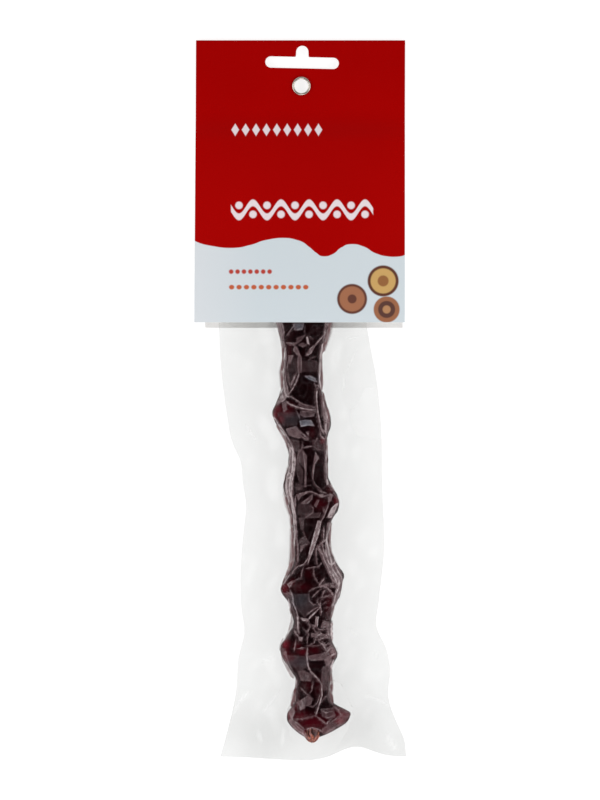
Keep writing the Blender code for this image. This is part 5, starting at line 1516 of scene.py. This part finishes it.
def settle(piece, tools):
    """Makes a piece's modifiers final in its mesh, and takes away the tools that they used."""
    bpy.context.view_layer.update()
    evaluated = piece.evaluated_get(bpy.context.evaluated_depsgraph_get())
    final = bpy.data.meshes.new_from_object(evaluated)
    piece.modifiers.clear()
    piece.data = final
    final.shade_smooth()
    final.set_sharp_from_angle(angle=CARD_SHARP_ANGLE)
    for tool in tools:
        bpy.data.objects.remove(tool)


print_ink, print_output = new_material("printed_card")


def times(first, second):
    """The product of two of the print's values."""
    return figure(print_ink, "MULTIPLY", first, second)


def less(first, second):
    """One of the print's values less another."""
    return figure(print_ink, "SUBTRACT", first, second)


def unsigned(value):
    """One of the print's values without its sign."""
    return figure(print_ink, "ABSOLUTE", value)


def inked(share, under, ink):
    """The print's colour with an ink laid over it by a share."""
    return blend_colours(print_ink, share, under, ink)


def ellipse_share(at, middle, half, soft=0.6):
    """1 inside an ellipse on the print and 0 outside it, with an edge as soft as a press gives: from
    the root of the sum of squares of the shares across and down."""
    du, dv = (figure(print_ink, "DIVIDE", less(*place), reach) for *place, reach in zip(at, middle, half))
    away = figure(print_ink, "SQRT", figure(print_ink, "ADD", times(du, du), times(dv, dv)))
    return stretch(print_ink, away, 1 - soft / half[0], 1 + soft / half[0], 1.0, 0.0)


def field_share(left, right, top, bottom, soft=0.5):
    """1 inside a level field of the print, by the smaller of its depths across and down."""
    depths = (
        less((high - low) / 2, unsigned(less(at, (low + high) / 2)))
        for at, low, high in ((across, left, right), (down, top, bottom))
    )
    return stretch(print_ink, figure(print_ink, "MINIMUM", *depths), -soft, soft)


def row_of(left, step):
    """The place across within each of a row of equal steps, from minus half a step to half a step."""
    steps = figure(print_ink, "DIVIDE", less(across, left), step)
    return times(less(figure(print_ink, "FRACT", steps), 0.5), step)


print_map = add_node(print_ink, "ShaderNodeUVMap", uv_map="print").outputs[0]
print_place = add_node(print_ink, "ShaderNodeSeparateXYZ", print_map)
across, down = print_place.outputs[0], less(PICTURE_HEIGHT, print_place.outputs[1])
edge_curve = add_node(print_ink, "ShaderNodeFloatCurve")
edge_points = edge_curve.mapping.curves[0].points
for number, (place, height) in enumerate(WAVY_EDGE):
    at, value = (place - EDGE_LEFT) / EDGE_LENGTH, (height - EDGE_TOP) / EDGE_SPAN
    if 0 < number < len(WAVY_EDGE) - 1:
        edge_points.new(at, value)
    else:
        edge_points[0 if number == 0 else -1].location = (at, value)
edge_curve.mapping.update()
share_across = figure(print_ink, "DIVIDE", less(across, EDGE_LEFT), EDGE_LENGTH)
print_ink.node_tree.links.new(share_across, edge_curve.inputs["Value"])
edge_down = figure(print_ink, "MULTIPLY_ADD", edge_curve.outputs[0], EDGE_SPAN, EDGE_TOP)
below = stretch(print_ink, less(down, edge_down), -EDGE_SOFTNESS, EDGE_SOFTNESS)
red_cloud = stretch(print_ink, cloudiness(print_ink, 30 * MM, 1.0), 0.3, 0.7, 0.0, 0.25)
red_share = figure(print_ink, "ADD", red_cloud, stretch(print_ink, down, *RED_PASSES, 0.0, 0.75))
red_ink = inked(red_share, RED_TOP, RED_BELOW)
grey_ink = inked(stretch(print_ink, across, *GREY_PASSES), GREY_LEFT, GREY_RIGHT)
colour = inked(below, red_ink, grey_ink)

# Only the front leaf has motifs: the ink comes between the heights of the two leaves
card_place = add_node(print_ink, "ShaderNodeTexCoord").outputs["Object"]
card_height = add_node(print_ink, "ShaderNodeSeparateXYZ", card_place).outputs[2]
on_front = stretch(print_ink, card_height, STACK_BACK + CARD_THICKNESS, STACK_FRONT - CARD_THICKNESS)
rise = figure(print_ink, "SINE", times(less(across, WAVE_START), math.pi / WAVE_HALF_LENGTH))
off_wave = unsigned(less(down, figure(print_ink, "MULTIPLY_ADD", rise, WAVE_REACH, WAVE_LEVEL)))
white_wave = stretch(print_ink, off_wave, *WAVE_LINE, 1.0, 0.0)
for first, level in BEAD_ROWS:
    bead = ellipse_share((row_of(first, BEAD_STEP), down), (0.0, level), (BEAD_RADIUS, BEAD_RADIUS))
    white_wave = figure(print_ink, "MAXIMUM", white_wave, bead)
white_wave = times(white_wave, field_share(*WAVE_FIELD))
lozenge_down = times(unsigned(less(down, LOZENGE_LEVEL)), LOZENGE_SLANT)
lozenge = figure(print_ink, "ADD", unsigned(row_of(LOZENGE_START, LOZENGE_STEP)), lozenge_down)
lozenge = times(stretch(print_ink, lozenge, *LOZENGE_LINE, 1.0, 0.0), field_share(*LOZENGE_FIELD))
colour = inked(times(on_front, figure(print_ink, "MAXIMUM", white_wave, lozenge)), colour, WHITE)

for field, step, ink in BROKEN_LINES:
    dot_middle, dot_half = (0.0, (field[2] + field[3]) / 2), (step * DOT_WIDTH, DOT_HALF_HEIGHT)
    dots = ellipse_share((row_of(field[0], step), down), dot_middle, dot_half)
    colour = inked(times(on_front, times(dots, field_share(*field))), colour, ink)

for middle, *rings in ROUND_SWEETS:
    for radius, ink in rings:
        disc = ellipse_share((across, down), middle, (radius, radius))
        colour = inked(times(on_front, disc), colour, ink)

surface(
    print_ink,
    print_output,
    Base_Color=colour,
    Roughness=clouds(print_ink, 2 * MM, 0.36, 0.46),
    Specular_IOR_Level=0.02,
    Normal=relief(print_ink, 0.7 * MM, 0.015 * MM, detail=4.0),
)

board, board_output = new_material("white_board")
surface(
    board,
    board_output,
    Base_Color=clouds(board, 0.6 * MM, BOARD_DULL, BOARD_WHITE, detail=5.0),
    Roughness=clouds(board, 1 * MM, 0.6, 0.8),
    Normal=relief(board, 0.3 * MM, 0.03 * MM, detail=5.0),
)

card_grid = card_points()
card_index = np.arange(card_grid[..., 0].size).reshape(card_grid.shape[:2])
card_faces = sheet_faces(card_index).tolist()
folded_card = add_piece("folded_card", card_grid, card_faces, print_ink, "header_card")
folded_card.data.materials.append(board)
print_u, print_v = as_pictured(card_grid)
uv_places = folded_card.data.uv_layers.new(name="print")
corner_points = np.empty(len(folded_card.data.loops), np.int32)
folded_card.data.loops.foreach_get("vertex_index", corner_points)
print_places = np.stack([print_u, PICTURE_HEIGHT - print_v], axis=-1).reshape(-1, 2)[corner_points]
uv_places.data.foreach_set("uv", print_places.astype(np.float32).ravel())
thick = folded_card.modifiers.new("board", "SOLIDIFY")
thick.thickness, thick.offset, thick.use_even_offset = CARD_THICKNESS, 0.0, True
thick.material_offset, thick.material_offset_rim = 1, 1
tools = [
    punch(folded_card, slot_outline()),
    punch(folded_card, arc(EYELET_CENTRE, PUNCHED_HOLE_RADIUS, 0, 360, 49)[:-1]),
]
settle(folded_card, tools)

# The eyelet: a bright nickel-plated tube of sheet brass, pushed through card and bag and rolled
# over at both ends.
EYELET_BORE_RADIUS = 3.0 * MM
EYELET_BARREL_RADIUS = 3.4 * MM
EYELET_RIM_RADIUS = 4.05 * MM
EYELET_RIM_THICKNESS = 0.35 * MM
EYELET_DOME = 0.35 * MM
EYELET_PLAY = 0.2 * MM
EYELET_COLUMNS = 96
EYELET_ROUND_STEPS = 11
EYELET_FULLNESS = 0.8
EYELET_STEP = (0.05 * MM, 0.03 * MM)  # from the rim's edge to where its underside is level
EYELET_SHARP_ANGLE = math.radians(50)
NICKEL_WARM = (0.52, 0.475, 0.42, 1)
NICKEL_BRIGHT = (0.62, 0.57, 0.51, 1)


def eyelet_profile():
    """The eyelet's outline turned round its middle: a half round over each rim, from the rim's edge
    to the bore, joined by the bore inside and the barrel outside."""
    under = STACK_BACK - CARD_THICKNESS / 2 - EYELET_PLAY
    over = STACK_FRONT + CARD_THICKNESS / 2 + EYELET_PLAY
    middle = (EYELET_BORE_RADIUS + EYELET_RIM_RADIUS) / 2
    reach = (EYELET_RIM_RADIUS - EYELET_BORE_RADIUS) / 2
    turn = np.linspace(0, math.pi, EYELET_ROUND_STEPS)
    swell = np.sin(turn) ** EYELET_FULLNESS
    front_rise = EYELET_RIM_THICKNESS + EYELET_DOME
    front = np.stack([middle + reach * np.cos(turn), over + front_rise * swell], axis=-1)
    back = np.stack([middle - reach * np.cos(turn), under - under * swell], axis=-1)
    rim, low, high = EYELET_RIM_RADIUS - EYELET_STEP[0], under + EYELET_STEP[1], over - EYELET_STEP[1]
    barrel = [(rim, low), (EYELET_BARREL_RADIUS, low), (EYELET_BARREL_RADIUS, high), (rim, high)]
    return np.concatenate([front, back, barrel])


nickel, nickel_output = new_material("nickel_plate")
surface(
    nickel,
    nickel_output,
    Base_Color=clouds(nickel, 0.8 * MM, NICKEL_WARM, NICKEL_BRIGHT, low=0.35, high=0.65),
    Metallic=1.0,
    Roughness=clouds(nickel, 0.35 * MM, 0.16, 0.3, detail=4.0),
    Normal=relief(nickel, 0.25 * MM, 0.01 * MM),
)

profile = eyelet_profile()
turns = np.linspace(0, 2 * math.pi, EYELET_COLUMNS, endpoint=False)[None, :]
eyelet_grid = np.stack([
    EYELET_CENTRE[0] + profile[:, :1] * np.cos(turns),
    EYELET_CENTRE[1] + profile[:, :1] * np.sin(turns),
    profile[:, 1:] + 0 * turns,
], axis=-1)
closed_grid = np.arange(eyelet_grid[..., 0].size).reshape(eyelet_grid.shape[:2])
closed_grid = np.concatenate([closed_grid, closed_grid[:1]])
closed_grid = np.concatenate([closed_grid, closed_grid[:, :1]], axis=1)
eyelet_faces = sheet_faces(closed_grid).tolist()
eyelet = add_piece("rolled_eyelet", eyelet_grid, eyelet_faces, nickel, "eyelet")
eyelet.data.set_sharp_from_angle(angle=EYELET_SHARP_ANGLE)

# The stage: a plain pale floor that glows a little, as a white table lit from below, two large soft
# lights beside the pack and one beyond its foot, and a camera straight above.
FLOOR_HALF_SIZE = 6.0
FLOOR_DEPTH = 0.02 * MM
FLOOR_DARK = (0.32, 0.32, 0.32, 1)
FLOOR_PALE = (0.34, 0.34, 0.34, 1)
FLOOR_GLOW = 0.78
# Each light's name, place, width, height and power
SOFTBOXES = (
    ("left_softbox", (-0.95, 0.0, 0.75), 1.0, 0.8, 5.6),
    ("right_softbox", (0.95, 0.0, 0.75), 1.0, 0.8, 5.6),
    ("foot_softbox", (0.0, -1.1, 0.7), 0.9, 0.6, 4.4),
)
SKY_STOPS = ((0.62, (1, 1, 1, 1)), (0.88, (0.03, 0.03, 0.03, 1)))  # bright round it, dark overhead
SKY_STRENGTH = 0.9
CAMERA_SIDEWAYS = 0.2 * MM
LENS = 416.2
SENSOR = 36.0
CLIP_END = 20.0

floor_look, floor_output = new_material("pale_floor")
surface(
    floor_look,
    floor_output,
    Base_Color=clouds(floor_look, 0.4, FLOOR_DARK, FLOOR_PALE, detail=2.0),
    Roughness=0.9,
    Specular_IOR_Level=0.0,
    Emission_Color=(1.0, 1.0, 1.0, 1),
    Emission_Strength=FLOOR_GLOW,
)
corners = FLOOR_HALF_SIZE * np.array([(-1, -1, 0), (1, -1, 0), (1, 1, 0), (-1, 1, 0)])
floor_mesh = bpy.data.meshes.new("floor")
floor_mesh.from_pydata(corners - [0, 0, FLOOR_DEPTH], [], [(0, 1, 2, 3)])
floor_mesh.materials.append(floor_look)
floor = bpy.data.objects.new("floor", floor_mesh)
bpy.context.scene.collection.objects.link(floor)


def add_softbox(name, place, width, height, power):
    """A large even light that faces the pack's middle."""
    light = bpy.data.lights.new(name, "AREA")
    light.shape, light.size, light.size_y, light.energy = "RECTANGLE", width, height, power
    box = bpy.data.objects.new(name, light)
    box.location = place
    towards = -np.array(place) / np.linalg.norm(place)
    box.rotation_euler = (math.acos(-towards[2]), 0, math.atan2(towards[1], towards[0]) - math.pi / 2)
    bpy.context.scene.collection.objects.link(box)


for softbox in SOFTBOXES:
    add_softbox(*softbox)

studio = bpy.data.worlds.new("studio")
studio.use_nodes = True
bpy.context.scene.world = studio
studio.node_tree.nodes.clear()
sky_place = add_node(studio, "ShaderNodeTexCoord").outputs["Generated"]
sky_height = add_node(studio, "ShaderNodeSeparateXYZ", sky_place).outputs[2]
sky_ramp = add_node(studio, "ShaderNodeValToRGB", sky_height)
for stop, (height, glow) in zip(sky_ramp.color_ramp.elements, SKY_STOPS):
    stop.position, stop.color = height, glow
sky = add_node(studio, "ShaderNodeBackground", sky_ramp.outputs[0], SKY_STRENGTH)
add_node(studio, "ShaderNodeOutputWorld", sky.outputs[0])

camera_data = bpy.data.cameras.new("camera")
camera_data.lens, camera_data.sensor_width = LENS, SENSOR
camera_data.clip_end = CLIP_END
camera = bpy.data.objects.new("camera", camera_data)
camera.location = (CAMERA_SIDEWAYS, 0.0, CAMERA_HEIGHT)
bpy.context.scene.collection.objects.link(camera)
bpy.context.scene.camera = camera
bpy.context.scene.view_settings.view_transform = "Standard"
